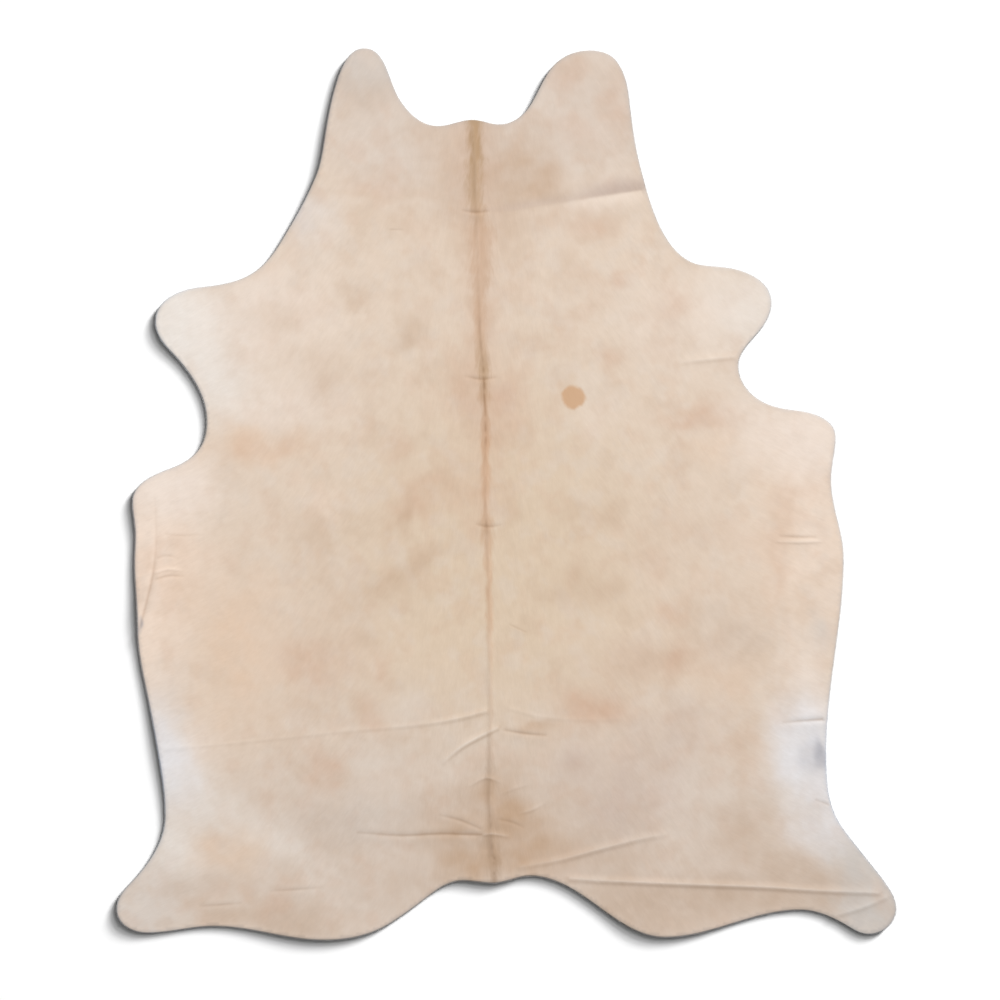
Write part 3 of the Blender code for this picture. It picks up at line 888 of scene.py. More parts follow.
def coat_colours(points):
    """The linear colour of the hair at each point."""
    shift = np.column_stack([layered_noise(points, RAGGED_SIZE, seed) for seed in (51, 71)])
    ragged = points + RAGGED * shift
    cloud = layered_noise(points, CLOUD_SIZE, seed=91)
    colours = np.tile(linear(TINTS["cream"]), (len(points), 1))
    calm = np.zeros(len(points))
    for zone in ZONES:
        amount = patch_amount(ragged, zone)
        colours = towards(colours, zone.tint, amount)
        if zone.tint in CALM_TINTS:
            calm = np.maximum(calm, amount)
    slanted = points @ MARBLE_SLANT
    for tint, size, seed, strength in MARBLE:
        vein = (layered_noise(slanted, size, seed, layers=4) - MARBLE_LOW) / MARBLE_RISE
        vein = np.clip(vein, 0.0, 1.0)
        colours = towards(colours, tint, strength * vein * (1.0 - CALMING * calm))
    for mottle in FRONT_MOTTLES + MIDDLE_MOTTLES + REAR_MOTTLES:
        amount = patch_amount(ragged, mottle) * (MOTTLE_SHARE + CLOUD_SHARE * cloud)
        colours = towards(colours, mottle.tint, amount)
    # Painted shade above the fold on the right of the neck, and a painted highlight below it.
    above = np.clip(0.5 + above_neck_fold(points) / NECK_FOLD_SOFT, 0.0, 1.0)
    for side, tones in ((above, NECK_FOLD_PAINTED_SHADE), (1.0 - above, NECK_FOLD_PAINTED_HIGHLIGHT)):
        for tone in tones:
            colours = towards(colours, tone.tint, side * patch_amount(points, tone))
    return colours


def keep_colours(thing, name, colours):
    """Store linear colours on the points of a mesh."""
    layer = thing.data.color_attributes.new(name, "FLOAT_COLOR", "POINT")
    full = np.column_stack((colours, np.ones(len(colours))))
    layer.data.foreach_set("color", full.astype(np.float32).ravel())


def keep_values(thing, name, values):
    """Store one value for each point of a mesh."""
    layer = thing.data.attributes.new(name, "FLOAT", "POINT")
    layer.data.foreach_set("value", np.asarray(values, np.float32))


painted = coat_colours(coat_points)
print("coat colour from", painted.min(axis=0).round(2), "to", painted.max(axis=0).round(2))

# %% [markdown]
# ### The line along the back
# Down the spine runs a darker line: golden brown and two fingers wide on the neck, a thin rusty
# line on the back, faint on the loin and darker again on the rump. The mesh keeps, for each point,
# how far it is from the line in units of the line's half width there, and how strong the line is.
# The shader makes the ragged edge from that, hair by hair. Along the very middle the hair parts,
# and a finer and darker line shows there in places.

# %% Measure the coat against the spine
Band = namedtuple("Band", "along shift half_width strength tint")
BACK_LINE = [Band(*row) for row in (
    (874, 3, 22, 0.78, "gold"),
    (820, 3, 23, 0.78, "gold"),
    (742, -5, 22, 0.58, "gold"),
    (700, -4, 17, 0.55, "gold"),
    (634, 9, 25, 0.42, "tan"),
    (562, 5, 26, 0.4, "tan"),
    (490, 0, 21, 0.48, "tan"),
    (394, -4, 15, 0.5, "tan"),
    (298, 3, 17, 0.62, "gold"),
    (202, 4, 11, 0.62, "tan"),
    (106, 2, 13, 0.62, "orange"),
    (46, 0, 9, 0.5, "orange"),
    (-14, -2, 10, 0.42, "orange"),
    (-74, 0, 14, 0.55, "tan"),
    (-158, 0, 10, 0.45, "orange"),
    (-300, 0, 10, 0.42, "orange"),
    (-350, 0, 8, 0.28, "orange"),
    (-446, 0, 6, 0.2, "tan"),
    (-614, 0, 7, 0.3, "dusk"),
    (-686, -2, 12, 0.4, "dusk"),
    (-734, -6, 10, 0.28, "dusk"),
    (-806, 0, 14, 0.45, "dusk"),
    (-902, 6, 15, 0.5, "dusk"),
)]
LINE_TINTS = {
    "gold": (178, 144, 105),
    "tan": (196, 157, 124),
    "orange": (206, 160, 123),
    "dusk": (174, 145, 119),
}
LINE_FAR = 8.0
WANDER = 1.6
WANDER_SIZE = 34.0
UNEVEN = 0.3
UNEVEN_SIZE = 21.0
HALO = 0.30
HALO_REACH = 46.0
HALO_FROM = -150.0
HALO_FADE = 300.0
PARTING_HALF = 3.4
PARTING_SIZE = 13.0
PARTING_MEAN = 0.9
PARTING_UNEVEN = 0.8
PARTING_MOST = 1.4
PARTING = (
    (900, 0.05), (690, 0.10), (480, 0.05), (400, 0.30), (300, 0.42), (270, 0.60), (200, 0.50),
    (120, 0.45), (60, 0.20), (-60, 0.20), (-76, 0.55), (-100, 0.15), (-290, 0.15), (-350, 0.05),
    (-500, 0.05), (-680, 0.15), (-760, 0.12), (-810, 0.40), (-920, 0.30))


def spine_across(along):
    """Where the spine runs at each place along the hide."""
    path = np.array(CREASES[0].path)[::-1]
    return np.interp(along, path[:, 1], path[:, 0])


def back_line(points):
    """Distance in half widths, strength, colour and depth of parting of the line on the back."""
    rows = BACK_LINE[::-1]
    places = [row.along for row in rows]
    wander = WANDER * soft_noise(points, WANDER_SIZE, seed=131)
    half = np.interp(points[:, 1], places, [row.half_width for row in rows])
    beside_line = points * np.array((0.0, 1.0))
    half = half * (1.0 + UNEVEN * soft_noise(beside_line, UNEVEN_SIZE, seed=141))
    strength = np.interp(points[:, 1], places, [row.strength for row in rows])
    tints = np.array([linear(LINE_TINTS[row.tint]) for row in rows])
    colour = np.column_stack([np.interp(points[:, 1], places, tints[:, k]) for k in range(3)])
    shift = np.interp(points[:, 1], places, [row.shift for row in rows])
    away = np.abs(points[:, 0] - spine_across(points[:, 1]) - shift - wander)
    places, depths = zip(*PARTING[::-1])
    parting = np.interp(points[:, 1], places, depths) * np.exp(-(away / PARTING_HALF) ** 2)
    uneven = PARTING_MEAN + PARTING_UNEVEN * soft_noise(points, PARTING_SIZE, seed=151)
    parting *= np.clip(uneven, 0.0, PARTING_MOST)
    return away / half, strength, colour, parting


def add_halo(points, colours):
    """A faint warm halo on both sides of the line, down to the loin."""
    away = np.abs(points[:, 0] - spine_across(points[:, 1]))
    fade = np.clip((points[:, 1] - HALO_FROM) / HALO_FADE, 0.0, 1.0)
    return towards(colours, "rust", HALO * fade * np.exp(-(away / HALO_REACH) ** 2))


painted = add_halo(coat_points, painted)
keep_colours(hair_coat, "coat_colour", painted)
line_away, line_strength, line_colour, parting = back_line(coat_points)
keep_values(hair_coat, "line_away", np.minimum(line_away, LINE_FAR))
keep_values(hair_coat, "line_strength", line_strength)
keep_values(hair_coat, "parting", parting)
keep_colours(hair_coat, "line_colour", line_colour)
print("points on the back line:", int(np.sum(line_away < 1.0)))

# %% [markdown]
# ### Painted shade in the folds
# The bottom of a trough and the foot of a ridge on its side away from the light are painted a shade
# darker, as painted shade, and a ridge's top a shade lighter, as a painted highlight. On some
# folds, such as the one on the left belly, the darkening is also a brownish stain line in the hair.
# One more value on the mesh says how deep in a fold each point is. A fold with stronger or weaker
# painted shade than others has a factor. The very rim is painted a little darker and greyer as
# well, as painted shade, and one more value marks it.

# %% Measure how deep each point lies in a fold
BOTTOM_HALF = 3.2
FOOT_AWAY = 0.8
FOOT_HALF = 0.35
FOOT_PAINTED_SHADE = 0.14
TOP_PAINTED_HIGHLIGHT = 0.08
TROUGH_PAINTED_SHADE_AND_STAIN = 0.36
FOLD_SHADE_FACTORS = {
    "right flank fold": 0.7,
    "spur beside the spine": 1.1,
    "left belly fold": 0.55,
    "fold across the right hock": 0.6,
    "right neck fold": 0.1,
    "long fold on the left loin": 0.5,
    "long fold on the right loin": 0.3,
    "short fold on the right thigh": 0.5,
    "long fold on the right thigh": 0.8,
    "spine": 0.3,
}


def fold_stain_and_painted_shade(points):
    """Above nothing where painted shade and stain darken the coat, below nothing where a painted
    highlight lightens it.
    """
    shade = np.zeros(len(points))
    for crease in CREASES + WRINKLES:
        inside, distance, height, side = near_crease(points, crease)
        bottom = np.exp(-(distance / BOTTOM_HALF) ** 2)
        # The foot of a ridge gets painted shade only on its side away from the light.
        foot = np.exp(-((distance / crease.width - FOOT_AWAY) / FOOT_HALF) ** 2) * (side < 0.0)
        shade_strength = height * FOLD_SHADE_FACTORS.get(crease.place, 1.0)
        if crease.kind == "ridge":
            shade[inside] += shade_strength * (FOOT_PAINTED_SHADE * foot - TOP_PAINTED_HIGHLIGHT * bottom)
        else:
            shade[inside] += shade_strength * TROUGH_PAINTED_SHADE_AND_STAIN * bottom
    return np.clip(shade, -1.0, 1.0)


keep_values(hair_coat, "fold_stain_and_painted_shade", fold_stain_and_painted_shade(coat_points))
keep_values(hair_coat, "rim_painted_shade", rim_painted_shade)
print("fold shade and rim shade kept")

# %% [markdown]
# ## Shader parts that several materials share
# The coat, the locks along the edge, the flesh side and the cut edge all need soft clouds of
# colour, and both kinds of hair need streaks. Each effect is a node group with named sockets,
# built once here and set per material. A short helper keeps the wiring readable.

# %% Helpers for wiring nodes


def new_group(name, inputs, outputs):
    """A shader node group with named inputs and outputs."""
    group = bpy.data.node_groups.new(name, "ShaderNodeTree")
    for label, kind, value in inputs:
        socket = group.interface.new_socket(label, in_out="INPUT", socket_type=kind)
        if value is not None:
            socket.default_value = value
    for label, kind in outputs:
        group.interface.new_socket(label, in_out="OUTPUT", socket_type=kind)
    return group, group.nodes.new("NodeGroupInput"), group.nodes.new("NodeGroupOutput")


def feed(tree, socket, value):
    """Give a socket a value, or link it to the socket that has the value."""
    if isinstance(value, bpy.types.NodeSocket):
        tree.links.new(value, socket)
    else:
        socket.default_value = value


def math_node(tree, operation, first, second=0.5, clamp=False):
    """A math node; returns its output."""
    node = tree.nodes.new("ShaderNodeMath")
    node.operation = operation
    node.use_clamp = clamp
    feed(tree, node.inputs[0], first)
    feed(tree, node.inputs[1], second)
    return node.outputs[0]


def plus(tree, first, second):
    """The sum of two values."""
    return math_node(tree, "ADD", first, second)


def times(tree, first, second):
    """The product of two values."""
    return math_node(tree, "MULTIPLY", first, second)


def mix_values(tree, factor, first, second):
    """A blend of two values; returns its output."""
    node = tree.nodes.new("ShaderNodeMix")
    node.data_type = "FLOAT"
    for number, value in zip((0, 2, 3), (factor, first, second)):
        feed(tree, node.inputs[number], value)
    return node.outputs[0]


def mix_colours(tree, factor, first, second, blend="MIX"):
    """A blend of two colours; returns its output."""
    node = tree.nodes.new("ShaderNodeMix")
    node.data_type = "RGBA"
    node.blend_type = blend
    for number, value in zip((0, 6, 7), (factor, first, second)):
        feed(tree, node.inputs[number], value)
    return node.outputs[2]


def remap(tree, value, low, high, to_low=0.0, to_high=1.0):
    """A smooth remap of a value from one range to another; returns its output."""
    node = tree.nodes.new("ShaderNodeMapRange")
    node.interpolation_type = "SMOOTHSTEP"
    for socket, number in zip(node.inputs[:5], (value, low, high, to_low, to_high)):
        feed(tree, socket, number)
    return node.outputs[0]


def noise_node(tree, vector, scale, detail=3.0, roughness=0.5, distortion=0.0):
    """A noise texture; returns its value."""
    node = tree.nodes.new("ShaderNodeTexNoise")
    for label, value in (("Vector", vector), ("Scale", scale), ("Detail", detail),
                         ("Roughness", roughness), ("Distortion", distortion)):
        feed(tree, node.inputs[label], value)
    return node.outputs[0]


def attribute(tree, name, output="Fac"):
    """The output of a value or colour kept on the mesh."""
    node = tree.nodes.new("ShaderNodeAttribute")
    node.attribute_name = name
    return node.outputs[output]


print("node helpers ready")

# %% [markdown]
# ### Clouds of colour
# Hair grows in slightly different shades from one hand's breadth to the next. Two sizes of noise,
# one for blotches and one for freckles, give a single mask. Each material decides what to tint
# with it.

# %% Node group: clouds
BLOTCH_RANGE = (0.32, 0.70)
FRECKLE_RANGE = (0.34, 0.68)


def make_clouds():
    """A mask of soft blotches and finer freckles in object space."""
    group, inside, outside = new_group(
        "clouds",
        (("Vector", "NodeSocketVector", None), ("Blotch Scale", "NodeSocketFloat", 16.0),
         ("Freckle Scale", "NodeSocketFloat", 70.0), ("Freckle Share", "NodeSocketFloat", 0.35)),
        (("Mask", "NodeSocketFloat"), ("Freckles", "NodeSocketFloat")),
    )
    place = inside.outputs["Vector"]
    blotches = noise_node(group, place, inside.outputs["Blotch Scale"], detail=4.0,
                          roughness=0.58, distortion=0.4)
    freckles = noise_node(group, place, inside.outputs["Freckle Scale"], roughness=0.6)
    wide = remap(group, blotches, *BLOTCH_RANGE)
    small = remap(group, freckles, *FRECKLE_RANGE)
    share = inside.outputs["Freckle Share"]
    kept = math_node(group, "SUBTRACT", 1.0, share)
    mask = math_node(group, "ADD", times(group, wide, kept), times(group, small, share), True)
    group.links.new(mask, outside.inputs["Mask"])
    group.links.new(small, outside.inputs["Freckles"])
    return group


clouds = make_clouds()
print("group:", clouds.name)

# %% [markdown]
# ### The lie of the hair
# Hair lies back along the spine and more and more outwards on the sides. A streak is noise
# stretched along the hair, so three stretched noises are used, one for the back, one for the ribs
# and one for the belly, and a mask by distance from the spine picks between them. Measuring across
# from the spine as a plain distance mirrors the lie on the other side by itself.

# %% Node group: hair lay
LAY_TURNS = (8.0, 34.0, 62.0)
RIBS_FADE = (0.08, 0.34)
BELLY_FADE = (0.42, 0.74)
STREAK_RANGE = (0.30, 0.70)
STREAK_HEIGHT = 0.45
LOCK_HEIGHT = 0.9


def stretched_noise(tree, vector, turned, scale, stretch):
    """Noise drawn out along a direction in the plane, turned degrees from straight back."""
    mapping = tree.nodes.new("ShaderNodeMapping")
    mapping.vector_type = "TEXTURE"
    mapping.inputs["Rotation"].default_value = (0.0, 0.0, math.radians(turned))
    mapping.inputs["Scale"].default_value = (1.0, stretch, 1.0)
    tree.links.new(vector, mapping.inputs["Vector"])
    return noise_node(tree, mapping.outputs[0], scale, detail=4.0, roughness=0.62, distortion=0.25)


def make_hair_lay():
    """Streaks of lying hair, and a height to bump it with."""
    group, inside, outside = new_group(
        "hair_lay",
        (("Vector", "NodeSocketVector", None), ("Streak Scale", "NodeSocketFloat", 420.0),
         ("Lock Scale", "NodeSocketFloat", 90.0)),
        (("Streaks", "NodeSocketFloat"), ("Locks", "NodeSocketFloat"),
         ("Height", "NodeSocketFloat")),
    )
    parts = group.nodes.new("ShaderNodeSeparateXYZ")
    group.links.new(inside.outputs["Vector"], parts.inputs[0])
    offset = math_node(group, "SUBTRACT", parts.outputs[0], SPINE_ACROSS * MM)
    side = math_node(group, "ABSOLUTE", offset)
    joined = group.nodes.new("ShaderNodeCombineXYZ")
    group.links.new(side, joined.inputs[0])
    group.links.new(parts.outputs[1], joined.inputs[1])
    folded = joined.outputs[0]
    to_ribs = remap(group, side, *RIBS_FADE)
    to_belly = remap(group, side, *BELLY_FADE)
    found = {}
    for label, scale, stretch in (("Streaks", "Streak Scale", 9.0), ("Locks", "Lock Scale", 4.5)):
        size = inside.outputs[scale]
        back, ribs, belly = [stretched_noise(group, folded, turned, size, stretch)
                             for turned in LAY_TURNS]
        outer = mix_values(group, to_belly, ribs, belly)
        found[label] = mix_values(group, to_ribs, back, outer)
        group.links.new(remap(group, found[label], *STREAK_RANGE), outside.inputs[label])
    height = plus(group, times(group, found["Streaks"], STREAK_HEIGHT),
                  times(group, found["Locks"], LOCK_HEIGHT))
    group.links.new(height, outside.inputs["Height"])
    return group


hair_lay = make_hair_lay()
print("group:", hair_lay.name)

# %% [markdown]
# ## The coat's material
# Hair is matt with a soft sheen. Its colour starts from the painted patches; clouds warm it here
# and there, the line along the back and one dark spot are laid over it, painted shade and a painted
# highlight mark the folds, painted shade greys the rim, and streaks lighten and darken it hair by
# hair. A bump from the same streaks breaks the light.

# %% Helpers for a material


def new_material(name, roughness, sheen, specular):
    """A material with a Principled shader and its constant settings."""
    material = bpy.data.materials.new(name)
    material.use_nodes = True
    tree = material.node_tree
    surface = tree.nodes["Principled BSDF"]
    surface.inputs["Roughness"].default_value = roughness
    surface.inputs["Sheen Weight"].default_value = sheen
    surface.inputs["Sheen Roughness"].default_value = 0.45
    surface.inputs["Sheen Tint"].default_value = (1.0, 0.93, 0.84, 1.0)
    surface.inputs["Specular IOR Level"].default_value = specular
    place = tree.nodes.new("ShaderNodeTexCoord").outputs["Object"]
    return material, tree, surface, place


def place_group(tree, group, vector, **values):
    """A node group placed in a material, with its values set by name."""
    node = tree.nodes.new("ShaderNodeGroup")
    node.node_tree = group
    tree.links.new(vector, node.inputs["Vector"])
    for label, value in values.items():
        node.inputs[label.replace("_", " ")].default_value = value
    return node


def shaded_by(tree, colour, tone):
    """A colour multiplied by a value; returns the colour."""
    grey = tree.nodes.new("ShaderNodeCombineColor")
    for socket in grey.inputs[:3]:
        tree.links.new(tone, socket)
    return mix_colours(tree, 1.0, colour, grey.outputs[0], "MULTIPLY")


def bump(tree, surface, height, strength, distance):
    """Bump a surface with a height."""
    node = tree.nodes.new("ShaderNodeBump")
    for label, value in (("Strength", strength), ("Distance", distance), ("Height", height)):
        feed(tree, node.inputs[label], value)
    tree.links.new(node.outputs[0], surface.inputs["Normal"])


print("material helpers ready")

# %% Material: cream hair
RIM_PAINTED_SHADE = (0.60, 0.67, 0.76, 1.0)
WARM_SHARE = 0.6
WARMTH = (0.93, 0.905, 0.875, 1.0)
PARTED_HAIR = (0.58, 0.50, 0.42, 1.0)
FOLD_PAINTED_SHADE_AND_STAIN = (0.62, 0.53, 0.45, 1.0)
FOLD_PAINTED_HIGHLIGHT = (0.95, 0.90, 0.84, 1.0)
STREAK_TONE = 0.042
LOCK_TONE = 0.035
LEAST_TONE = 0.962
SPOT_COLOUR = (208, 168, 132)
SPOT_PLACE = (161, 233)
SPOT_HALF = 28.0
SPOT_WAVES = 38.0
SPOT_RAGGED = 0.45
SPOT_TUFTS = 0.14
SPOT_FADE = (0.86, 1.26)
SPOT_STRENGTH = 0.92
LINE_TUFTS = 0.55
LINE_FADE = (0.40, 1.80)
COAT_ROUGHNESS = (0.62, 0.78)


def spot_mask(tree, place, lay):
    """The one dark spot on the right shoulder, ragged along the hair."""
    centre = (np.array(SPOT_PLACE) - table_middle) * MM
    distance = tree.nodes.new("ShaderNodeVectorMath")
    distance.operation = "DISTANCE"
    flat = tree.nodes.new("ShaderNodeVectorMath")
    flat.operation = "MULTIPLY"
    flat.inputs[1].default_value = (1.0, 1.0, 0.0)
    tree.links.new(place, flat.inputs[0])
    tree.links.new(flat.outputs[0], distance.inputs[0])
    distance.inputs[1].default_value = (centre[0], centre[1], 0.0)
    away = math_node(tree, "DIVIDE", distance.outputs["Value"], SPOT_HALF * MM)
    wavy = noise_node(tree, place, SPOT_WAVES, detail=2.0)
    wavy = times(tree, math_node(tree, "SUBTRACT", wavy, 0.5), SPOT_RAGGED)
    ragged = plus(tree, away, times(tree, lay.outputs["Locks"], SPOT_TUFTS))
    return remap(tree, plus(tree, ragged, wavy), *SPOT_FADE, SPOT_STRENGTH, 0.0)


def back_line_mask(tree, lay):
    """The ragged line along the back."""
    away = attribute(tree, "line_away")
    ragged = plus(tree, away, times(tree, lay.outputs["Locks"], LINE_TUFTS))
    inside = remap(tree, ragged, *LINE_FADE, 1.0, 0.0)
    return times(tree, inside, attribute(tree, "line_strength"))


def make_cream_hair():
    """The coat on top of the hide."""
    material, tree, surface, place = new_material("cream_hair", roughness=0.7, sheen=0.18,
                                                 specular=0.22)
    lay = place_group(tree, hair_lay, place, Streak_Scale=420.0, Lock_Scale=95.0)
    shades = place_group(tree, clouds, place, Blotch_Scale=13.0, Freckle_Scale=48.0,
                         Freckle_Share=0.42)
    colour = attribute(tree, "coat_colour", "Color")
    warm = times(tree, shades.outputs["Mask"], WARM_SHARE)
    colour = mix_colours(tree, warm, colour, WARMTH, "MULTIPLY")
    line_colour = attribute(tree, "line_colour", "Color")
    colour = mix_colours(tree, back_line_mask(tree, lay), colour, line_colour)
    colour = mix_colours(tree, attribute(tree, "parting"), colour, PARTED_HAIR, "MULTIPLY")
    colour = mix_colours(tree, spot_mask(tree, place, lay), colour, opaque(SPOT_COLOUR))
    # Painted shade (with a stain line on some folds) darkens the folds, and a painted highlight
    # lightens ridge tops.
    fold = attribute(tree, "fold_stain_and_painted_shade")
    dark = math_node(tree, "MAXIMUM", fold, 0.0)
    light = times(tree, math_node(tree, "MINIMUM", fold, 0.0), -1.0)
    colour = mix_colours(tree, dark, colour, FOLD_PAINTED_SHADE_AND_STAIN, "MULTIPLY")
    colour = mix_colours(tree, light, colour, FOLD_PAINTED_HIGHLIGHT)
    # Painted shade darkens and greys the rim.
    colour = mix_colours(tree, attribute(tree, "rim_painted_shade"), colour, RIM_PAINTED_SHADE, "MULTIPLY")
    streak = plus(tree, times(tree, lay.outputs["Streaks"], STREAK_TONE),
                  times(tree, lay.outputs["Locks"], LOCK_TONE))
    colour = shaded_by(tree, colour, plus(tree, streak, LEAST_TONE))
    tree.links.new(colour, surface.inputs["Base Color"])
    rough = remap(tree, lay.outputs["Streaks"], 0.0, 1.0, *COAT_ROUGHNESS)
    tree.links.new(rough, surface.inputs["Roughness"])
    bump(tree, surface, lay.outputs["Height"], strength=0.20, distance=0.001)
    return material


cream_hair = make_cream_hair()
hair_coat.data.materials.append(cream_hair)
hair_coat.data.shade_smooth()
print("material:", cream_hair.name)

# %% [markdown]
# ## The flesh side and the cut edge
# The flesh side is suede: pale, felted and blotchy, with no shine at all. The cut edge shows the
# same leather in section, a little lighter where the knife went through. Both use the clouds
# group. The wall faces of the leather sheet get the edge material by their place in the mesh.

# %% Materials: suede and cut edge
FRECKLES_FINER = 9.0
NAP_SCALE = 900.0
NAP_RANGE = (0.3, 0.7)
NAP_TONES = (0.9, 1.04)
FRECKLE_HEIGHT = 0.6
SHARP_ANGLE = 40.0


def make_suede(name, pale, deep, scale, roughness):
    """Felted leather between two colours."""
    material, tree, surface, place = new_material(name, roughness, sheen=0.25, specular=0.15)
    shades = place_group(tree, clouds, place, Blotch_Scale=scale,
                         Freckle_Scale=scale * FRECKLES_FINER, Freckle_Share=0.5)
    colour = mix_colours(tree, shades.outputs["Mask"], opaque(pale), opaque(deep))
    nap = noise_node(tree, place, NAP_SCALE, roughness=0.7)
    colour = shaded_by(tree, colour, remap(tree, nap, *NAP_RANGE, *NAP_TONES))
    tree.links.new(colour, surface.inputs["Base Color"])
    height = plus(tree, nap, times(tree, shades.outputs["Freckles"], FRECKLE_HEIGHT))
    bump(tree, surface, height, strength=0.4, distance=0.0008)
    return material


suede = make_suede("flesh_side_suede", pale=(222, 210, 194), deep=(200, 184, 164), scale=9.0,
                   roughness=0.95)
cut_edge = make_suede("cut_edge", pale=(228, 214, 192), deep=(208, 188, 160), scale=30.0,
                      roughness=0.9)
leather.data.materials.append(suede)
leather.data.materials.append(cut_edge)
slots = np.zeros(len(leather.data.polygons), np.int32)
slots[-wall_faces:] = 1
leather.data.polygons.foreach_set("material_index", slots)
leather.data.shade_smooth()
leather.data.set_sharp_from_angle(angle=math.radians(SHARP_ANGLE))
print("materials:", suede.name, cut_edge.name)

# %% [markdown]
# ## Hair along the edge
# Seen from the side, the rim of the coat is a row of short locks that stand out over the cut edge
# where the hair lies outwards, and hardly at all where it lies inwards. Each lock is a narrow
# tapered blade of two faces, bent down towards the floor. They are made in one loop and joined
# into one mesh, coloured like the coat beside them.

# %% Build the edge locks
LOCK_STEP = 2.1
LockRow = namedtuple("LockRow", "inset level share")
LOCK_ROWS = (LockRow(1.2, 3.1, 1.0), LockRow(0.5, 2.5, 0.8), LockRow(0.2, 1.7, 0.6))
LOCK_SEED = 77
LOCK_SCATTER = 0.22
LOCK_OUTWARDS = 0.75
LOCK_WITH_HAIR = 0.6
LOCK_SHORTEST = 1.4
LOCK_LONGER_OUTWARDS = 1.8
LOCK_LENGTHS = (0.7, 1.25)
LOCK_WIDTHS = (0.9, 1.7)
LOCK_TAPER = 0.8
LOCK_BEND = 0.55
LOCK_DROOPS = (0.5, 1.4)
BEND_DROOP = 0.35
LOWEST_TIP = 0.2
TURNED_ON_BACK = 12.0
TURNED_MORE_ON_BELLY = 62.0


def hair_heading(points):
    """The direction in which the hair lies at each point, as unit vectors."""
    offset = points[:, 0] - SPINE_ACROSS
    away = np.clip(np.abs(offset) / BELLY_REACH, 0.0, 1.0)
    turned = np.radians(TURNED_ON_BACK + TURNED_MORE_ON_BELLY * away)
    return np.column_stack((np.sign(offset) * np.sin(turned), -np.cos(turned)))


def lock_blades(ring, row, chance):
    """Corners and faces of the locks of one row along the edge."""
    count = len(ring)
    outside = outward(ring)
    heading = hair_heading(ring) + chance.normal(0.0, LOCK_SCATTER, ring.shape)
    lean = np.clip(np.sum(heading * outside, axis=1), 0.0, 1.0)
    direction = outside * LOCK_OUTWARDS + heading * LOCK_WITH_HAIR
    direction /= np.linalg.norm(direction, axis=1)[:, None]
    length = LOCK_SHORTEST + LOCK_LONGER_OUTWARDS * lean
    length = length * chance.uniform(*LOCK_LENGTHS, count) * row.share + row.inset
    width = chance.uniform(*LOCK_WIDTHS, count)
    across = np.column_stack((-direction[:, 1], direction[:, 0])) * width[:, None] / 2.0
    root = ring - row.inset * outside
    middle = root + direction * length[:, None] * LOCK_BEND
    tip = root + direction * length[:, None]
    narrower = LOCK_TAPER * across
    base = floor_gap(ring) + row.level * thickness(ring) / THICK_ON_BELLY
    droop = chance.uniform(*LOCK_DROOPS, count) * row.share
    bent = base - BEND_DROOP * droop
    points = np.stack((root - across, root + across, middle - narrower, middle + narrower, tip), 1)
    heights = np.stack((base, base, bent, bent, np.maximum(base - droop, LOWEST_TIP)), 1)
    start = points.shape[1] * np.arange(count)[:, None]
    quads = start + np.array((0, 1, 3, 2))
    tips = start + np.array((2, 3, 4))
    return points.reshape(-1, 2), heights.ravel(), list(quads) + list(tips)


def add_edge_hair():
    """All the locks along the edge, in one mesh."""
    ring = edge_ring(LOCK_STEP)
    chance = np.random.default_rng(LOCK_SEED)
    points, heights, faces, start = [], [], [], 0
    for row in LOCK_ROWS:
        corners, levels, blades = lock_blades(ring, row, chance)
        points.append(corners)
        heights.append(levels)
        faces += [blade + start for blade in blades]
        start += len(corners)
    return mesh_from("edge_hair", np.vstack(points), np.concatenate(heights), faces)


edge_hair = add_edge_hair()
keep_colours(edge_hair, "coat_colour", coat_colours(table_points(edge_hair)))
print("edge hair:", len(edge_hair.data.polygons), "faces")

# %% [markdown]
# ### The locks' material
# The locks take the coat's colour from the same patches, so they need no line or spot, only the
# streaks, the painted shade that darkens and greys the rim, and here and there a paler tip, where
# light comes through.

# %% Material: edge locks
PALE_TIP = (0.80, 0.75, 0.69, 1.0)
PALE_SHARE = 0.3
LOCK_ROUGHNESS = (0.6, 0.75)


def make_edge_hair():
    """Hair at the rim of the coat."""
    material, tree, surface, place = new_material("edge_locks", roughness=0.66, sheen=0.2,
                                                 specular=0.25)
    lay = place_group(tree, hair_lay, place, Streak_Scale=500.0, Lock_Scale=160.0)
    colour = attribute(tree, "coat_colour", "Color")
    pale = times(tree, lay.outputs["Streaks"], PALE_SHARE)
    colour = mix_colours(tree, pale, colour, PALE_TIP)
    # Painted shade darkens and greys the locks, like the rim of the coat.
    colour = mix_colours(tree, 1.0, colour, RIM_PAINTED_SHADE, "MULTIPLY")
    tree.links.new(colour, surface.inputs["Base Color"])
    rough = remap(tree, lay.outputs["Locks"], 0.0, 1.0, *LOCK_ROUGHNESS)
    tree.links.new(rough, surface.inputs["Roughness"])
    bump(tree, surface, lay.outputs["Height"], strength=0.2, distance=0.0005)
    return material


edge_hair.data.materials.append(make_edge_hair())
edge_hair.data.shade_smooth()
print("material:", edge_hair.data.materials[0].name)

# %% [markdown]
# ## Joining the pieces to the model
# The leather and the coat together stand for the solid hide, and the locks ride with them.

# %% Ride on the hide's body
for piece in (leather, hair_coat, edge_hair):
    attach(piece, "root")
for piece in (leather, hair_coat):
    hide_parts("hide")

# %% [markdown]
# ## Floor, light and camera
# The photograph looks straight down on a white floor. The hide is lit softly and fairly from above,
# so that its folds stay faint, yet a shadow two fingers wide lies along its left and lower edges,
# darkest at the edge, as only low light draws it. So there is a broad window for the rug alone, and
# for the floor alone a tall bank of lamps from near the horizon upwards. Each gives its share of
# the light, and the shares make the shadow fade evenly. An even pale sky fills it.

# %% White floor
FLOOR_REACH = 14.0
FLOOR_DROP = 0.0003
FLOOR_WHITE = 0.93


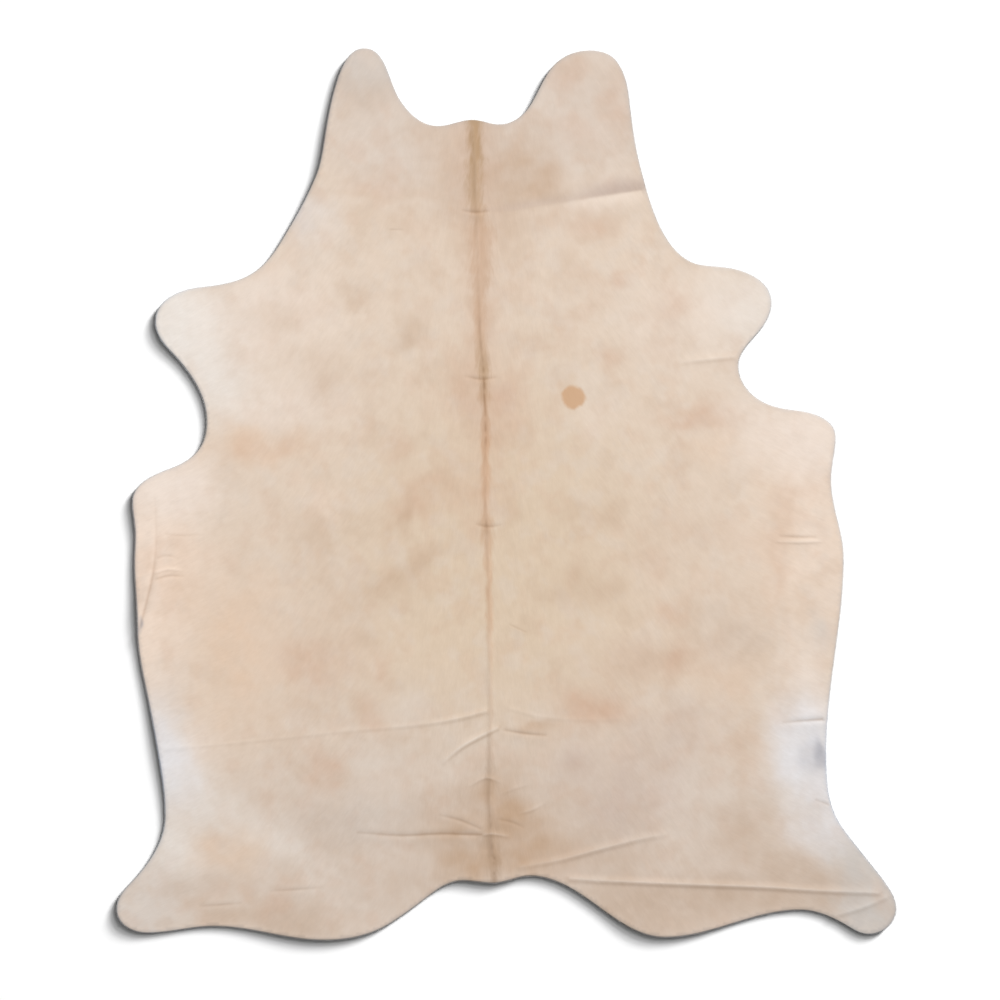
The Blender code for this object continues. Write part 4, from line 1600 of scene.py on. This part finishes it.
def add_floor():
    """A broad white floor just under the hide."""
    data = bpy.data.meshes.new("floor")
    sides = ((-1, -1), (1, -1), (1, 1), (-1, 1))
    corners = [(x * FLOOR_REACH, y * FLOOR_REACH, 0.0) for x, y in sides]
    data.from_pydata(corners, [], [(0, 1, 2, 3)])
    floor = bpy.data.objects.new("floor", data)
    floor.location.z = -FLOOR_DROP
    bpy.context.scene.collection.objects.link(floor)
    material = bpy.data.materials.new("white_floor")
    material.use_nodes = True
    surface = material.node_tree.nodes["Principled BSDF"]
    surface.inputs["Base Color"].default_value = (FLOOR_WHITE, FLOOR_WHITE, FLOOR_WHITE, 1.0)
    surface.inputs["Roughness"].default_value = 0.9
    surface.inputs["Specular IOR Level"].default_value = 0.1
    data.materials.append(material)
    return floor


floor = add_floor()
print("floor:", floor.name)

# %% Soft light
WHITE = (1.0, 1.0, 1.0)
WINDOW_PLACE = (12.0, 22.0, 29.0)
WINDOW_SIZE = (19.0, 19.0)
WINDOW_POWER = 18700.0
SKY = 0.10
FLOOR_LIGHT = 3.4
LAMP_AWAY = 60.0
LAMP_WIDTH = 11.0
LowLamp = namedtuple("LowLamp", "lowest highest share")
LOW_LAMPS = [LowLamp(*row) for row in (
    (6.2, 8.0, 0.10),
    (8.0, 11.0, 0.29),
    (11.0, 16.5, 0.31),
    (16.5, 30.0, 0.21),
    (30.0, 64.0, 0.09),
)]


def add_area(name, place, size, power):
    """A soft white area light that looks at the middle of the hide."""
    data = bpy.data.lights.new(name, "AREA")
    data.shape = "RECTANGLE"
    data.size, data.size_y = size
    data.energy = power
    data.color = WHITE
    light = bpy.data.objects.new(name, data)
    light.location = place
    aim = -np.array(place)
    spin = math.atan2(aim[1], aim[0])
    tilt = math.atan2(math.hypot(aim[0], aim[1]), -aim[2])
    light.rotation_euler = (tilt, 0.0, spin - math.pi / 2.0)
    bpy.context.scene.collection.objects.link(light)
    return light


def lights_only(light, name, things):
    """Let a lamp light nothing but these things, while everything still casts its shadow."""
    group = bpy.data.collections.new(name)
    for thing in things:
        group.objects.link(thing)
    light.light_linking.receiver_collection = group


window = add_area("window", WINDOW_PLACE, WINDOW_SIZE, WINDOW_POWER)
lights_only(window, "rug_pieces", (leather, hair_coat, edge_hair))


def add_low_lamp(number, row):
    """One lamp of the low stack, between two heights in degrees over the floor."""
    middle = math.radians((row.lowest + row.highest) / 2.0)
    half = math.radians((row.highest - row.lowest) / 2.0)
    level = LAMP_AWAY * math.cos(middle) / math.sqrt(2.0)
    place = (level, level, LAMP_AWAY * math.sin(middle))
    power = row.share * FLOOR_LIGHT * math.pi * LAMP_AWAY ** 2 / math.sin(middle)
    size = (LAMP_WIDTH, 2.0 * LAMP_AWAY * math.tan(half))
    lamp = add_area("low_lamp_" + str(number), place, size, power)
    lights_only(lamp, "floor_alone_" + str(number), (floor,))


for number, row in enumerate(LOW_LAMPS):
    add_low_lamp(number, row)


def set_sky():
    """An even pale sky that fills the shadows and shows white behind the floor."""
    world = bpy.data.worlds.new("studio")
    bpy.context.scene.world = world
    world.use_nodes = True
    tree = world.node_tree
    backdrop = tree.nodes["Background"]
    backdrop.inputs["Color"].default_value = (*WHITE, 1.0)
    seen = tree.nodes.new("ShaderNodeLightPath").outputs["Is Camera Ray"]
    strength = tree.nodes.new("ShaderNodeMapRange")
    strength.inputs["To Min"].default_value = SKY
    strength.inputs["To Max"].default_value = 1.0
    tree.links.new(seen, strength.inputs["Value"])
    tree.links.new(strength.outputs[0], backdrop.inputs["Strength"])


set_sky()
bpy.context.scene.view_settings.view_transform = "Standard"
bpy.context.scene.view_settings.look = "None"
print("window:", WINDOW_POWER, "W, low lamps:", len(LOW_LAMPS), ", sky:", SKY)

# %% Camera straight above
FRAME_WIDTH = 2.4
LENS = 85.0
SENSOR = 36.0
CAMERA_OVER = (-15.0, -13.8)


def add_camera():
    """A camera that looks straight down, with the neck at the top of the picture."""
    data = bpy.data.cameras.new("camera")
    data.lens = LENS
    data.sensor_width = SENSOR
    camera = bpy.data.objects.new("camera", data)
    height = FRAME_WIDTH * LENS / SENSOR
    over = (np.array(CAMERA_OVER) - table_middle) * MM
    camera.location = (over[0], over[1], height)
    bpy.context.scene.collection.objects.link(camera)
    bpy.context.scene.camera = camera
    return camera


camera = add_camera()
print("camera height:", round(camera.location.z, 3), "m")
